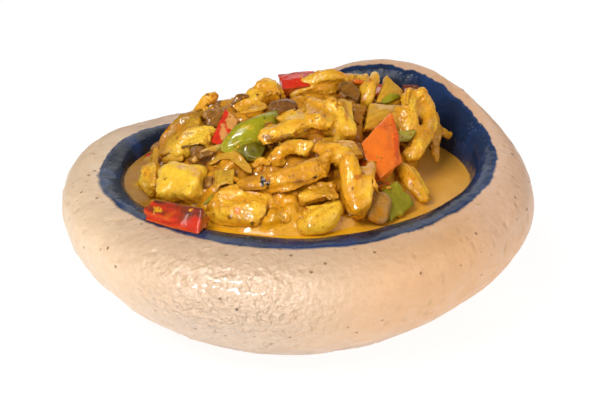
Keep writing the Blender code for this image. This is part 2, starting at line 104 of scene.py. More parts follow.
# ---------------------------------------- linear colours
CLAY_PALE = (0.87, 0.65, 0.44)
CLAY_MIDDLE = (0.68, 0.475, 0.315)
CLAY_WARM = (0.75, 0.42, 0.20)
CLAY_PINK = (0.56, 0.375, 0.28)
CLAY_BLUSH = (0.78, 0.53, 0.39)
CLAY_DIRT = (0.50, 0.30, 0.14)
MEAT_BRIGHT = (0.95, 0.585, 0.042)
MEAT = (0.78, 0.355, 0.012)
MEAT_DEEP = (0.50, 0.20, 0.006)
# Painted shade for the hollows of the food
CREASE_SHADE = (0.22, 0.085, 0.003)
SEARED = (0.20, 0.042, 0.004)
CHAR = (0.012, 0.009, 0.007)
PAPRIKA = (0.40, 0.055, 0.006)
PALE_FIBRE = (0.92, 0.60, 0.09)
OLIVE = (0.36, 0.22, 0.015)
BROWN_TINT = (0.48, 0.22, 0.03)
SAUCE_GOLD = (0.92, 0.475, 0.013)
SAUCE_TAN = (0.94, 0.46, 0.055)
# Painted shadow where the sauce meets the wall
SAUCE_EDGE_SHADOW = (0.20, 0.12, 0.02)
SAUCE_LEFT = (0.46, 0.21, 0.010)
PINK_MEAT = (0.80, 0.36, 0.13)
MEAT_RUST = (0.55, 0.16, 0.01)
RED_CHAR = (0.10, 0.016, 0.008)
PALE_PEPPER = (0.78, 0.40, 0.10)
ORANGE_DEEP = (0.72, 0.075, 0.008)
RED_SKIN = (0.74, 0.030, 0.007)
RED_FLESH = (0.60, 0.10, 0.020)
ORANGE_SKIN = (1.0, 0.215, 0.016)
ORANGE_FLESH = (0.88, 0.20, 0.02)
GREEN_SKIN = (0.36, 0.335, 0.008)
GREEN_DARK = (0.11, 0.085, 0.004)
GREEN_FLESH = (0.48, 0.40, 0.05)
ONION_PALE = (0.80, 0.46, 0.035)
ONION_DEEP = (0.52, 0.25, 0.012)
MUSHROOM_BROWN = (0.34, 0.145, 0.014)
MUSHROOM_DARK = (0.10, 0.042, 0.007)
MUSHROOM_PALE = (0.52, 0.28, 0.10)


# ---------------------------------------- numbers and noise
CORNERS = np.array([(i, j, k) for i in (0, 1) for j in (0, 1) for k in (0, 1)])
WAYS = np.random.default_rng(5).normal(size=(64, 3))
WAYS /= np.linalg.norm(WAYS, axis=1)[:, None]


def noise(points, size, seed):
    """Smooth noise from about -1 to 1 whose waves are that many millimetres long."""
    place = points / size + 31.7 * seed
    cell = np.floor(place).astype(np.int64)
    part = place - cell
    ease = part ** 3 * (part * (part * 6 - 15) + 10)
    total = np.zeros(len(points))
    for corner in CORNERS:
        at = cell + corner
        code = at[:, 0] * 73856093 ^ at[:, 1] * 19349663 ^ at[:, 2] * 83492791 ^ seed * 40503
        code = ((code ^ code >> 13) * 1274126177) & 0x7fffffff
        way = WAYS[(code >> 9) % len(WAYS)]
        weight = np.prod(np.where(corner, ease, 1 - ease), axis=1)
        total += weight * np.einsum("ij,ij->i", way, part - corner)
    return 1.7 * total


def ramp(values, start, end):
    """0 before start, 1 after end, easing between them."""
    share = np.clip((values - start) / (end - start), 0, 1)
    return share * share * (3 - 2 * share)


def even(count, end=1.0):
    """That many even steps from 0 to just before end."""
    return np.linspace(0, end, count, endpoint=False)


def mixed(first, second, share):
    """Colours between first and second, one for each share."""
    share = np.atleast_1d(np.clip(share, 0, 1))[:, None]
    return np.asarray(first) * (1 - share) + np.asarray(second) * share


def layered(paint, *layers):
    """A colour with layers of (colour, share) laid over it."""
    for colour, share in layers:
        paint = mixed(paint, colour, share)
    return paint


def seen(points):
    """Across and up, as points appear from the front at the camera's height."""
    up = points[:, 1] * math.sin(TILT) + points[:, 2] * math.cos(TILT)
    return np.stack([points[:, 0], up], axis=1)


def on_picture(across, up):
    """The point of the plane through the pot's middle, square to the view, at these millimetres."""
    return np.array([across, up * math.sin(TILT), up * math.cos(TILT)])


# ---------------------------------------- mesh handling
def read(items, key, columns, kind=float):
    """One attribute of every item of a mesh, one row for each item."""
    values = np.empty(len(items) * columns, dtype=kind)
    items.foreach_get(key, values)
    return values.reshape(-1, columns)


def mesh_points(mesh):
    return read(mesh.vertices, "co", 3) / MM


def mesh_faces(mesh):
    return [tuple(face.vertices) for face in mesh.polygons]


def mesh_normals(mesh):
    return read(mesh.vertex_normals, "vector", 3)


def mesh_edges(mesh):
    return read(mesh.edges, "vertices", 2, np.int64)


def point_normals(points, faces):
    mesh = bpy.data.meshes.new("normals")
    mesh.from_pydata(points, [], faces)
    normals = mesh_normals(mesh)
    bpy.data.meshes.remove(mesh)
    return normals


def neighbour_mean(values, edges):
    """The mean of each point's neighbours, for one or more columns of values."""
    columns = values.reshape(len(values), -1)
    size = len(columns)
    count = np.bincount(edges.ravel(), minlength=size)
    out = np.empty_like(columns)
    for k in range(columns.shape[1]):
        column = columns[:, k]
        total = np.bincount(edges[:, 0], column[edges[:, 1]], size)
        total += np.bincount(edges[:, 1], column[edges[:, 0]], size)
        out[:, k] = total / np.maximum(count, 1)
    return out.reshape(values.shape)


def hollows(points, normals, edges):
    """How deep each point lies between its neighbours, in millimetres; negative on ridges."""
    depth = np.einsum("ij,ij->i", neighbour_mean(points, edges) - points, normals)
    for _ in range(2):
        depth = (depth + neighbour_mean(depth, edges)) / 2
    return depth


def without_scraps(mesh):
    """The same mesh without any small pieces that hang loose from the rest."""
    edges = mesh_edges(mesh)
    label = np.arange(len(mesh.vertices))
    settled = False
    while not settled:
        before = label.copy()
        low = np.minimum(label[edges[:, 0]], label[edges[:, 1]])
        np.minimum.at(label, edges[:, 0], low)
        np.minimum.at(label, edges[:, 1], low)
        label = label[label]
        settled = np.array_equal(label, before)
    kept = np.bincount(label)[label] > 0.12 * len(label)
    if kept.all():
        return mesh
    place = np.cumsum(kept) - 1
    faces = [tuple(place[list(face)]) for face in mesh_faces(mesh) if kept[face[0]]]
    whole = bpy.data.meshes.new("whole")
    whole.from_pydata(mesh_points(mesh)[kept] * MM, [], faces)
    bpy.data.meshes.remove(mesh)
    return whole


def merged(parts):
    """The points and faces of several (points, faces, ...) as one."""
    points, faces, count = [], [], 0
    for part_points, part_faces, *_ in parts:
        points.append(part_points)
        faces += [tuple(count + i for i in face) for face in part_faces]
        count += len(part_points)
    return np.concatenate(points), faces


def skinned(parts, voxel, rounding):
    """One closed, even skin round closed parts that may overlap: its mesh."""
    points, faces = merged(parts)
    mesh = bpy.data.meshes.new("rough")
    mesh.from_pydata(points * MM, [], faces)
    obj = bpy.data.objects.new("rough", mesh)
    bpy.context.collection.objects.link(obj)
    skin = obj.modifiers.new("skin", 'REMESH')
    skin.mode = 'VOXEL'
    skin.voxel_size = voxel * MM
    soft = obj.modifiers.new("soft", 'SMOOTH')
    soft.factor = 0.5
    soft.iterations = rounding
    bpy.context.view_layer.update()
    result = bpy.data.meshes.new_from_object(obj.evaluated_get(bpy.context.evaluated_depsgraph_get()))
    bpy.data.objects.remove(obj)
    bpy.data.meshes.remove(mesh)
    return without_scraps(result)


def make_object(name, points, faces, paint=None):
    """A smooth object in metres, with its painted colours as an attribute."""
    mesh = bpy.data.meshes.new(name)
    mesh.from_pydata(points * MM, [], faces)
    mesh.shade_smooth()
    if paint is not None:
        layer = mesh.color_attributes.new("paint", 'FLOAT_COLOR', 'POINT')
        colours = np.ones((len(points), 4))
        colours[:, :3] = np.clip(paint, 0, 1)
        layer.data.foreach_set("color", colours.ravel())
    obj = bpy.data.objects.new(name, mesh)
    bpy.context.collection.objects.link(obj)
    return obj


def add_piece(name, parts, material, nodes=()):
    """Joins parts to one piece of the food that rides in the pot and stands for its nodes."""
    obj = make_object(name, *merged(parts), np.concatenate([paint for _, _, paint in parts]))
    obj.data.materials.append(material)
    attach(obj, "root")
    if nodes:
        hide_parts(*nodes)
    return obj


def ball_template(subdivisions):
    """The points and faces of a ball of radius 1."""
    mesh = bpy.data.meshes.new("ball")
    bm = bmesh.new()
    bmesh.ops.create_icosphere(bm, subdivisions=subdivisions, radius=1.0)
    bm.to_mesh(mesh)
    bm.free()
    points = np.array([vertex.co for vertex in mesh.vertices])
    faces = mesh_faces(mesh)
    bpy.data.meshes.remove(mesh)
    return points, faces


BALL = ball_template(2)
COARSE_BALL = ball_template(1)


SPAN_STEPS = 9              # points between two of a path's own points


def curve_through(path):
    """Points on the smooth curve through the points of path."""
    path = np.asarray(path, dtype=float)
    padded = np.vstack([2 * path[0] - path[1], path, 2 * path[-1] - path[-2]])
    steps = even(SPAN_STEPS)[:, None]
    out = []
    for before, a, b, after in zip(padded, padded[1:], padded[2:], padded[3:]):
        bend = (2 * before - 5 * a + 4 * b - after) * steps ** 2
        turn = (3 * a - before - 3 * b + after) * steps ** 3
        out.append((2 * a + (b - before) * steps + bend + turn) / 2)
    return np.vstack(out + [path[-1:]])


def strand(path, widths, flat, outward):
    """Overlapping flattened balls along a curve, to be skinned: [(points, faces), ...]."""
    line = curve_through(path)
    radius = np.interp(np.linspace(0, 1, len(line)), np.linspace(0, 1, len(widths)), widths) / 2
    ahead = np.gradient(line, axis=0)
    ahead /= np.linalg.norm(ahead, axis=1)[:, None]
    parts = []
    for centre, forward, reach in zip(line, ahead, radius):
        side = np.cross(forward, outward)
        side /= max(np.linalg.norm(side), 1e-6)
        up = np.cross(side, forward)
        shape = np.array([forward * reach, side * reach, up * reach * flat])
        parts.append((BALL[0] @ shape + centre, BALL[1]))
    return parts


def met(tree, plane):
    """Where the line of sight through a point of the picture plane first meets a tree, or None."""
    hit = tree.ray_cast(Vector(plane + TOWARDS_CAMERA * RAY_START), Vector(-TOWARDS_CAMERA))[0]
    return None if hit is None else np.array(hit)


def tree_of(points, faces):
    """A tree that finds where rays meet these faces, and the nearest place on them."""
    return BVHTree.FromPolygons([Vector(point) for point in points], faces)


# ---------------------------------------- materials
class Nodes:
    """A material's node tree, with short calls for what the finishes here need."""

    def __init__(self, name):
        self.material = bpy.data.materials.new(name)
        self.material.use_nodes = True
        self.tree = self.material.node_tree
        self.shader = self.tree.nodes["Principled BSDF"]
        self.place = self.add("ShaderNodeTexCoord", {}, "Object")

    def feed(self, node, inputs):
        """Gives a node's sockets their values, or the outputs that drive them."""
        for key, value in inputs.items():
            if isinstance(value, bpy.types.NodeSocket):
                self.tree.links.new(value, node.inputs[key])
            else:
                node.inputs[key].default_value = value

    def add(self, kind, inputs, output, **settings):
        """One output of a new node with these inputs and settings."""
        node = self.tree.nodes.new(kind)
        for key, value in settings.items():
            setattr(node, key, value)
        self.feed(node, inputs)
        return node.outputs[output]

    def noise(self, size, detail=2.0):
        """Noise from 0 to 1 with waves of that size in millimetres."""
        inputs = {"Scale": 1 / (size * MM), "Detail": detail, "Vector": self.place}
        return self.add("ShaderNodeTexNoise", inputs, "Fac")

    def cells(self, size):
        """Distance in cell widths to the nearest of scattered points."""
        inputs = {"Scale": 1 / (size * MM), "Vector": self.place}
        return self.add("ShaderNodeTexVoronoi", inputs, "Distance")

    def between(self, value, low, high, to_low=0.0, to_high=1.0):
        """Maps low..high to to_low..to_high, clamped."""
        inputs = {"Value": value, "From Min": low, "From Max": high, "To Min": to_low, "To Max": to_high}
        return self.add("ShaderNodeMapRange", inputs, "Result")

    def times(self, first, second):
        return self.add("ShaderNodeMath", {0: first, 1: second}, 0, operation='MULTIPLY')

    def mix(self, share, first, second, blend='MIX'):
        """Colour first turned towards second; either may be an output or a colour."""
        node = self.tree.nodes.new("ShaderNodeMix")
        node.data_type = 'RGBA'
        node.blend_type = blend
        colours = [number for number, socket in enumerate(node.inputs) if socket.type == 'RGBA']
        pair = [(*value, 1) if isinstance(value, tuple) else value for value in (first, second)]
        self.feed(node, {"Factor": share, **dict(zip(colours, pair))})
        return [socket for socket in node.outputs if socket.type == 'RGBA'][0]

    def painted(self, name="paint", output="Color"):
        return self.add("ShaderNodeAttribute", {}, output, attribute_name=name)

    def bumps(self, heights):
        """The normal after chained bumps from (height output, millimetres) pairs."""
        normal = {}
        for height, depth in heights:
            inputs = {"Strength": 1.0, "Distance": depth * MM, "Height": height, **normal}
            normal = {"Normal": self.add("ShaderNodeBump", inputs, "Normal")}
        return normal["Normal"]

    def finish(self, **inputs):
        """The material, with its shader's own sockets fed: base_color feeds "Base Color"."""
        names = {"ior": "IOR", "specular_ior_level": "Specular IOR Level"}
        self.feed(self.shader, {names.get(key, key.replace("_", " ").title()): value
                                for key, value in inputs.items()})
        return self.material


def food_material(name, rough=(0.20, 0.44), coat=0.50, glow=0.12, reach=1.2, grain=0.24,
                  speck_size=2.5, speck_share=0.13, speck=PAPRIKA, mottle=0.3):
    """A wet, slightly see-through skin over painted colours, with fine grain and spice specks."""
    nodes = Nodes(name)
    shade = nodes.between(nodes.noise(2.2, 4.0), 0.35, 0.68, mottle, 0)
    darker = nodes.mix(shade, nodes.painted(), (0.72, 0.52, 0.30), 'MULTIPLY')
    specks = nodes.between(nodes.cells(speck_size), speck_share, speck_share * 0.45)
    cluster = nodes.between(nodes.noise(11.0), 0.44, 0.58)
    return nodes.finish(
        base_color=nodes.mix(nodes.times(specks, cluster), darker, speck),
        roughness=nodes.between(nodes.noise(3.5, 3.0), 0.35, 0.65, *rough),
        normal=nodes.bumps([(nodes.noise(1.1, 4.0), grain), (nodes.noise(3.0, 3.0), grain * 1.2)]),
        subsurface_weight=glow, subsurface_radius=(1.0, 0.50, 0.14), subsurface_scale=reach * MM,
        coat_weight=coat, coat_roughness=0.06, specular_ior_level=0.3, ior=1.33)


def clay_material():
    """Pitted, satin stoneware with fine dark and rusty specks, thinly glazed where it is craggy."""
    nodes = Nodes("stoneware_clay")
    wetness = nodes.painted("wetness", "Fac")
    shade = nodes.between(nodes.noise(6.0, 6.0), 0.3, 0.7, 0.30, 0)
    colour = nodes.mix(shade, nodes.painted(), (0.86, 0.72, 0.56), 'MULTIPLY')
    fine = nodes.between(nodes.noise(1.0, 3.0), 0.58, 0.75, 0, 0.40)
    colour = nodes.mix(fine, colour, (0.58, 0.37, 0.20))
    pit_places = nodes.between(nodes.noise(22.0), 0.45, 0.52)
    pits = nodes.times(nodes.between(nodes.cells(8.0), 0.12, 0.06), pit_places)
    colour = nodes.mix(nodes.times(pits, 0.9), colour, (0.40, 0.18, 0.055))
    specks = nodes.between(nodes.cells(2.6), 0.10, 0.05, 0, 0.6)
    crags = nodes.times(nodes.noise(3.2, 1.6), wetness)
    low = nodes.between(pits, 0, 1, 1, 0)
    heights = [(crags, 5.6), (nodes.noise(3.0, 4.0), 0.22), (nodes.noise(0.8, 3.0), 0.04), (low, 0.9)]
    return nodes.finish(
        base_color=nodes.mix(specks, colour, (0.46, 0.27, 0.14)),
        roughness=nodes.between(nodes.noise(8.0, 3.0), 0.35, 0.7, 0.34, 0.62),
        normal=nodes.bumps(heights),
        coat_weight=nodes.between(wetness, 0.25, 0.8, 0.12, 1.0), coat_roughness=0.09)


def glaze_material():
    """Glassy navy glaze, cobalt where it pools thin, with pale crystals in clusters."""
    nodes = Nodes("stoneware_glaze")
    cloud = nodes.between(nodes.noise(16.0, 5.0), 0.5, 0.72)
    colour = nodes.mix(nodes.times(cloud, 0.7), nodes.painted(), (0.018, 0.050, 0.17))
    crystals = nodes.between(nodes.cells(1.7), 0.26, 0.10)
    clusters = nodes.between(nodes.noise(9.0, 3.0), 0.54, 0.64)
    crystals = nodes.times(nodes.times(crystals, clusters), 0.55)
    return nodes.finish(
        base_color=nodes.mix(crystals, colour, (0.42, 0.46, 0.52)),
        roughness=nodes.between(nodes.noise(5.0, 3.0), 0.4, 0.7, 0.16, 0.34),
        normal=nodes.bumps([(nodes.noise(7.0, 2.0), 0.5), (nodes.noise(1.5, 2.0), 0.04)]),
        specular_ior_level=0.13, coat_weight=0.08, coat_roughness=0.08)


def table_material():
    """A white table that fills the picture and lights the pot from below."""
    nodes = Nodes("white_table")
    colour = nodes.mix(nodes.noise(60.0, 2.0), (0.26, 0.26, 0.26), (0.30, 0.30, 0.30))
    return nodes.finish(base_color=colour, roughness=0.9, emission_color=(1, 1, 1, 1),
                        emission_strength=0.84)


# ---------------------------------------- pot
def swell(angles, swells):
    """Sum of bell-shaped swellings at angles in degrees."""
    total = np.zeros_like(angles)
    for centre, before, after, size in swells:
        away = (angles - centre + 180) % 360 - 180
        spread = np.where(away < 0, before, after)
        total += size * np.exp(-0.5 * (away / spread) ** 2)
    return total


def oval(angles, half_width, back, front):
    """Polar radius of an oval whose back and front halves differ in depth."""
    depth = np.where(angles % 360 < 180, back, front)
    return 1 / np.hypot(np.cos(np.radians(angles)) / half_width, np.sin(np.radians(angles)) / depth)


def ring_grid(rings, angles):
    """Points of (radius, height) rings at angles in degrees: ring by ring, column by column."""
    cos, sin = np.cos(np.radians(angles)), np.sin(np.radians(angles))
    return np.array([np.stack([radius * cos, radius * sin, height], axis=1) for radius, height in rings])


def ring_faces(rows, columns):
    """The faces between neighbouring rings of a grid."""
    faces = []
    for row in range(rows - 1):
        here, above = row * columns, (row + 1) * columns
        for column in range(columns):
            after = (column + 1) % columns
            faces.append((here + column, here + after, above + after, above + column))
    return faces


class PotWall:
    """The wall's section at every column's angle, as the CAD solid has it."""

    def __init__(self, angles):
        self.angles = angles
        self.wide = oval(angles, POT_HALF_WIDTH, POT_BACK_DEPTH, POT_FRONT_DEPTH)
        self.wide += swell(angles, GIRTH_SWELLS)
        self.crest = oval(angles, RIM_HALF_WIDTH, RIM_BACK_DEPTH, RIM_FRONT_DEPTH)
        self.crest += swell(angles, RIM_SWELLS)
        self.top = RIM_HEIGHT + swell(angles, HEIGHT_SWELLS)
        self.base = BASE_SHARE * self.wide
        self.inner = self.crest - MOUTH_ROLL
        self.power = 2 / (2.2 + swell(angles, SQUARE_SWELLS))
        self.curve = BELLY + swell(angles, BELLY_SWELLS)
        self.reach = GIRTH_HEIGHT / (1 - (self.base / self.wide) ** self.curve) ** (1 / self.curve)

    def belly_radius(self, height):
        drop = (GIRTH_HEIGHT - height) / self.reach
        return self.wide * (1 - drop ** self.curve) ** (1 / self.curve)

    def belly(self, share):
        """From the base's edge at 0 to the girth at 1."""
        height = GIRTH_HEIGHT * (1 - math.cos(math.pi / 2 * share))
        return self.belly_radius(height), height + 0 * self.wide

    def over(self, turn):
        """Over the rim: turn is 0 at the girth, 1 on the crest and 2 just under the sauce."""
        outside = np.clip(turn, 0, 1) * math.pi / 2
        inside = np.clip(turn - 1, 0, 1) * math.pi / 2
        out_r = self.crest + (self.wide - self.crest) * np.cos(outside) ** self.power
        out_z = GIRTH_HEIGHT + (self.top - GIRTH_HEIGHT) * np.sin(outside) ** self.power
        in_r = self.crest - (self.crest - self.inner) * np.sin(inside)
        in_z = SAUCE_FOOT + (self.top - SAUCE_FOOT) * np.cos(inside) ** CREST_POWER
        return np.where(turn < 1, out_r, in_r), np.where(turn < 1, out_z, in_z)

    def inside(self, share):
        """Down the hidden inner wall, from just under the sauce at 0 to the floor at 1."""
        down = (0, 0.42, 0.75, 1)
        radius = self.inner * np.interp(share, down, (1.0, 0.93, 0.78, FLOOR_SHARE))
        return radius, np.interp(share, down, (SAUCE_FOOT, 44.0, 24.0, FLOOR_HEIGHT)) + 0 * self.wide

    def glaze_edge(self):
        """Where on the turn over the rim the glaze ends, ragged."""
        ring = ring_grid([(self.crest, 0 * self.crest)], self.angles)[0]
        ragged = 0.9 * noise(ring, 14.0, 3) + 0.55 * noise(ring, 5.0, 4) + 0.35 * noise(ring, 2.2, 5)
        offset = 0.5 - GLAZE_LEAN * np.sin(np.radians(self.angles)) + swell(self.angles, GLAZE_SWELLS)
        offset += ragged
        out_share = np.clip(offset / (self.wide - self.crest), 0, 1)
        outside = np.arccos(np.clip(out_share ** (1 / self.power), 0, 1)) / (math.pi / 2)
        in_share = np.clip(-offset / (self.crest - self.inner), 0, 1)
        inside = 1 + np.arcsin(in_share) / (math.pi / 2)
        return np.where(offset > 0, outside, inside)


def pot_rings(wall):
    """Rings of (radius, height) from the base's middle to the floor's, and the glaze's first ring."""
    edge = wall.glaze_edge()
    flat = 0 * wall.base
    rings = [(wall.base * max(share, 0.02), flat) for share in even(BASE_ROWS)]
    rings += [wall.belly(share ** 0.9) for share in even(BELLY_ROWS)]
    rings += [wall.over(edge * share) for share in even(SHOULDER_ROWS)]
    first_glazed = len(rings)
    rings += [wall.over(edge + (2 - edge) * share) for share in even(ROLL_ROWS)]
    rings += [wall.inside(share) for share in np.linspace(0, 1, WALL_ROWS)]
    rings.append((wall.inner * 0.02, FLOOR_HEIGHT + flat))
    return rings, first_glazed


def grid_normals(grid):
    """Outward normals of a closed grid of rings."""
    along = np.roll(grid, -1, axis=1) - np.roll(grid, 1, axis=1)
    up = np.gradient(grid, axis=0)
    normals = np.cross(along, up)
    size = np.linalg.norm(normals, axis=2)
    return normals / np.maximum(size, 1e-9)[:, :, None]


PATCH_X, PATCH_HEIGHT = -34, 50
PATCH_WIDTH, PATCH_TALL = 42, 23


def wet_patch(points):
    """0.6 where the front left of the wall is craggy and glazed thin, 0 away from it."""
    away = np.hypot((points[:, 0] - PATCH_X) / PATCH_WIDTH, (points[:, 2] - PATCH_HEIGHT) / PATCH_TALL)
    return np.where(points[:, 1] < 0, 0.6 * np.exp(-away ** 2), 0)


def clay_relief(points):
    """Height of the clay's unevenness, and how much dirt lies in it."""
    height = 0.55 * noise(points, 27.0, 11) + 0.35 * noise(points, 12.0, 12)
    rough = 0.35 * ramp(noise(points, 34.0, 13), -0.1, 0.5) + 1.1 * wet_patch(points)
    height += rough * (0.50 * noise(points, 4.2, 14) + 0.42 * noise(points, 2.4, 19))
    height += 0.10 * noise(points, 4.0, 15)
    tall = points * (1.0, 1.0, 0.38)
    scratch = ramp(noise(tall, 3.4, 16), 0.48, 0.72) * ramp(noise(points, 17.0, 17), -0.05, 0.25)
    ridge = ramp(noise(tall, 3.4, 18), 0.50, 0.75) * ramp(noise(points, 17.0, 20), -0.05, 0.25)
    dents = ramp(noise(points, 5.5, 29), 0.50, 0.72)
    height += -0.75 * scratch + 0.35 * ridge - 0.5 * dents
    return height, np.clip(0.8 * scratch + 0.35 * dents, 0, 1)


def make_pot():
    """The pot: clay outside and glaze inside, on the rings of its CAD solid."""
    angles = even(POT_COLUMNS, 360)
    wall = PotWall(angles)
    rings, first_glazed = pot_rings(wall)
    grid = ring_grid(rings, angles)
    rows, columns = grid.shape[:2]
    normals = grid_normals(grid)
    points = grid.reshape(-1, 3)
    row = np.repeat(np.arange(rows), columns)
    glazed = row >= first_glazed
    relief, dirt = clay_relief(points)
    height = points[:, 2]
    on_base = ramp(height, 0.0, 3.0)
    smooth_glaze = 0.30 + 0.45 * noise(points, 20.0, 21) + 0.12 * noise(points, 6.0, 22)
    near_edge = ramp((row - first_glazed).astype(float), 0, 3)
    lift = np.where(glazed, 0.12 + (smooth_glaze - 0.12) * near_edge, relief * on_base)
    hidden = row >= rows - WALL_ROWS
    lift = np.where(hidden, 0, lift)
    moved = points + normals.reshape(-1, 3) * lift[:, None]
    moved[:, 2] = np.maximum(moved[:, 2], 0)

    across = points[:, 0] + 14 * noise(points, 50.0, 24)
    blush = ramp(points[:, 1] / 110 + 0.35 * noise(points, 30.0, 25), 0.1, 0.9)
    low = ramp(34 - height + 8 * noise(points, 18.0, 26), 0, 34)
    clay = layered(
        mixed(CLAY_PALE, CLAY_MIDDLE, ramp(across, -118, -60)),
        (CLAY_WARM, ramp(across, -15, 85)),
        (CLAY_BLUSH, 0.55 * blush),
        # Painted light: the right shoulder, which the key light leaves in shade, paler
        (CLAY_BLUSH, 0.7 * ramp(across, 60, 105) * ramp(height, 50, 78)),
        (CLAY_PINK, 0.42 * low),
        (CLAY_DIRT, 0.55 * dirt))
    # Painted shade: the clay darker towards the base
    clay *= (1 - 0.28 * low)[:, None]
    thin = ramp(3.5 - (row - first_glazed), 0, 3.5)
    cobalt = ramp(noise(points, 22.0, 27) + 0.5 * noise(points, 7.0, 28), 0.05, 0.6)
    cobalt += 0.9 * ramp(points[:, 0], 60, 105)
    blue = mixed((0.010, 0.017, 0.036), (0.022, 0.055, 0.17), np.clip(0.4 * cobalt + 0.4 * thin, 0, 1))
    paint = np.where(glazed[:, None], blue, clay)

    faces = ring_faces(rows, columns)
    faces.append(tuple(range(columns))[::-1])
    faces.append(tuple(range((rows - 1) * columns, rows * columns)))
    pot = make_object("pot_stoneware", moved, faces, paint)
    wetness = pot.data.attributes.new("wetness", 'FLOAT', 'POINT')
    wetness.data.foreach_set("value", 0.06 + 1.4 * wet_patch(points))
    pot.data.materials.append(clay_material())
    pot.data.materials.append(glaze_material())
    kinds = np.zeros(len(faces), dtype=np.int32)
    kinds[first_glazed * columns:(rows - 1) * columns] = 1
    kinds[-1] = 1
    pot.data.polygons.foreach_set("material_index", kinds)
    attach(pot, "root")
    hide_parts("pot")


# ---------------------------------------- food
class Solid:
    """A CAD node's shape in millimetres, with places on its front given by shares of its outline."""

    def __init__(self, name):
        mesh = frame["nodes"][name].data
        self.name = name
        self.points = mesh_points(mesh)
        self.faces = mesh_faces(mesh)
        self.tree = tree_of(self.points, self.faces)
        flat = seen(self.points)
        self.low, self.high = flat.min(axis=0), flat.max(axis=0)

    def at(self, across, up, lift):
        """The point on the front at these shares of the outline's width and height."""
        plane = on_picture(*(self.low + (self.high - self.low) * (across, up)))
        hit = met(self.tree, plane)
        if hit is None:
            near = self.tree.find_nearest(Vector(plane + TOWARDS_CAMERA * 40))[0]
            depth = np.dot(np.array(near), TOWARDS_CAMERA)
            return plane + TOWARDS_CAMERA * (depth - np.dot(plane, TOWARDS_CAMERA) + lift)
        return hit + TOWARDS_CAMERA * lift

    def strand(self, places, widths, flat):
        """A strand through (across, up, lift) places on the front."""
        return strand([self.at(*place) for place in places], widths, flat, TOWARDS_CAMERA)


class Frame:
    """The long, wide and thin directions of some points, and how far they reach along each."""

    def __init__(self, points):
        self.middle = points.mean(axis=0)
        self.axes = np.linalg.eigh(np.cov((points - self.middle).T))[1][:, ::-1].T
        if self.axes[2] @ (0.0, -0.6, 0.8) < 0:
            self.axes[2] *= -1
        if self.axes[0][0] < 0:
            self.axes[0] *= -1
        self.half = np.abs(self.local(points)).max(axis=0)

    def local(self, points):
        return (points - self.middle) @ self.axes.T


class Skin:
    """A skinned solid's points, normals, edges and its own long, wide and thin directions."""

    def __init__(self, mesh):
        self.points = mesh_points(mesh)
        self.normals = mesh_normals(mesh)
        self.edges = mesh_edges(mesh)
        self.faces = mesh_faces(mesh)
        bpy.data.meshes.remove(mesh)
        own = Frame(self.points)
        self.axes, self.half, self.local = own.axes, own.half, own.local(self.points)

    def push(self, lift):
        """Moves the points out along their normals by lift."""
        self.points = self.points + self.normals * lift[:, None]
        self.normals = point_normals(self.points, self.faces)
        self.depth = hollows(self.points, self.normals, self.edges)

    def spot(self, solid, across, up, size, seed, tall):
        """1 inside a ragged spot on the front, at shares of a solid's outline, of that radius."""
        flat = seen(self.points)
        away = flat - (solid.low + (solid.high - solid.low) * (across, up))
        away[:, 1] /= tall
        edge = size * (1 + 0.5 * noise(self.points, max(size, 1.2), 50 + seed))
        facing = ramp(self.normals @ TOWARDS_CAMERA, -0.45, 0.0)
        return ramp(edge - np.linalg.norm(away, axis=1), -0.25, 0.45) * facing


MEAT_FORM = dict(bundle=0.75, across=5.5, fibre=0.40, lump=0.9, crumb=0.26, tear=0.9, bright=0.0,
                 sear=0.25, olive=0.0)


def meat_relief(local, half, form, seed):
    """How far the bundles, fibres, crumbs and torn ends stand out, and the bundles alone."""
    bundle = np.abs(noise(local * (0.22, 1, 1), form["across"], seed))
    fibre = np.abs(noise(local * (0.3, 1, 1), 2.0, seed + 1))
    lump = noise(local, 9.5, seed + 2)
    crumb = noise(local, 1.5, seed + 3) + 0.8 * noise(local, 3.2, seed + 10)
    end = ramp(np.abs(local[:, 0]) / half[0], 0.70, 1.0)
    tear = noise(local * (0.3, 1, 1), 2.8, seed + 4)
    lift = 0.6 * form["bundle"] * (2.0 * bundle - 0.6) + 0.6 * form["fibre"] * (fibre - 0.35)
    lift += form["lump"] * lump + form["crumb"] * crumb + form["tear"] * end * tear
    return lift, bundle


def meat_paint(skin, local, bundle, form, seed):
    """The colours of curried chicken: lit yellow, painted shade in the hollows, pale fibres, seared
    places.
    """
    points = skin.points
    tone = 0.55 + form["bright"] + 0.30 * noise(points, 11.0, seed + 5)
    tone += 0.16 * noise(local * (0.22, 1, 1), 3.0, seed + 6) + 0.35 * (bundle - 0.3)
    seared = ramp(noise(points, 6.0, seed + 8) + 0.3 * noise(points, 2.0, seed + 9), 0.62, 0.85)
    return layered(
        mixed(MEAT_DEEP, MEAT, ramp(tone, 0.0, 0.5)),
        (MEAT_BRIGHT, ramp(tone, 0.45, 1.0)),
        (OLIVE, form["olive"] * ramp(noise(points, 8.0, seed + 7), -0.3, 0.4)),
        (PALE_FIBRE, 0.35 * ramp(-skin.depth, 0.05, 0.28)),
        # Painted shade: darker down in the hollows
        (CREASE_SHADE, 0.55 * ramp(skin.depth, 0.04, 0.30)),
        (SEARED, form["sear"] * 2.2 * seared))


def dress_meat(skin, form, seed):
    """Relief and colours for a piece of meat of one form."""
    lift, bundle = meat_relief(skin.local, skin.half, form, seed)
    skin.push(lift)
    return meat_paint(skin, skin.local, bundle, form, seed)


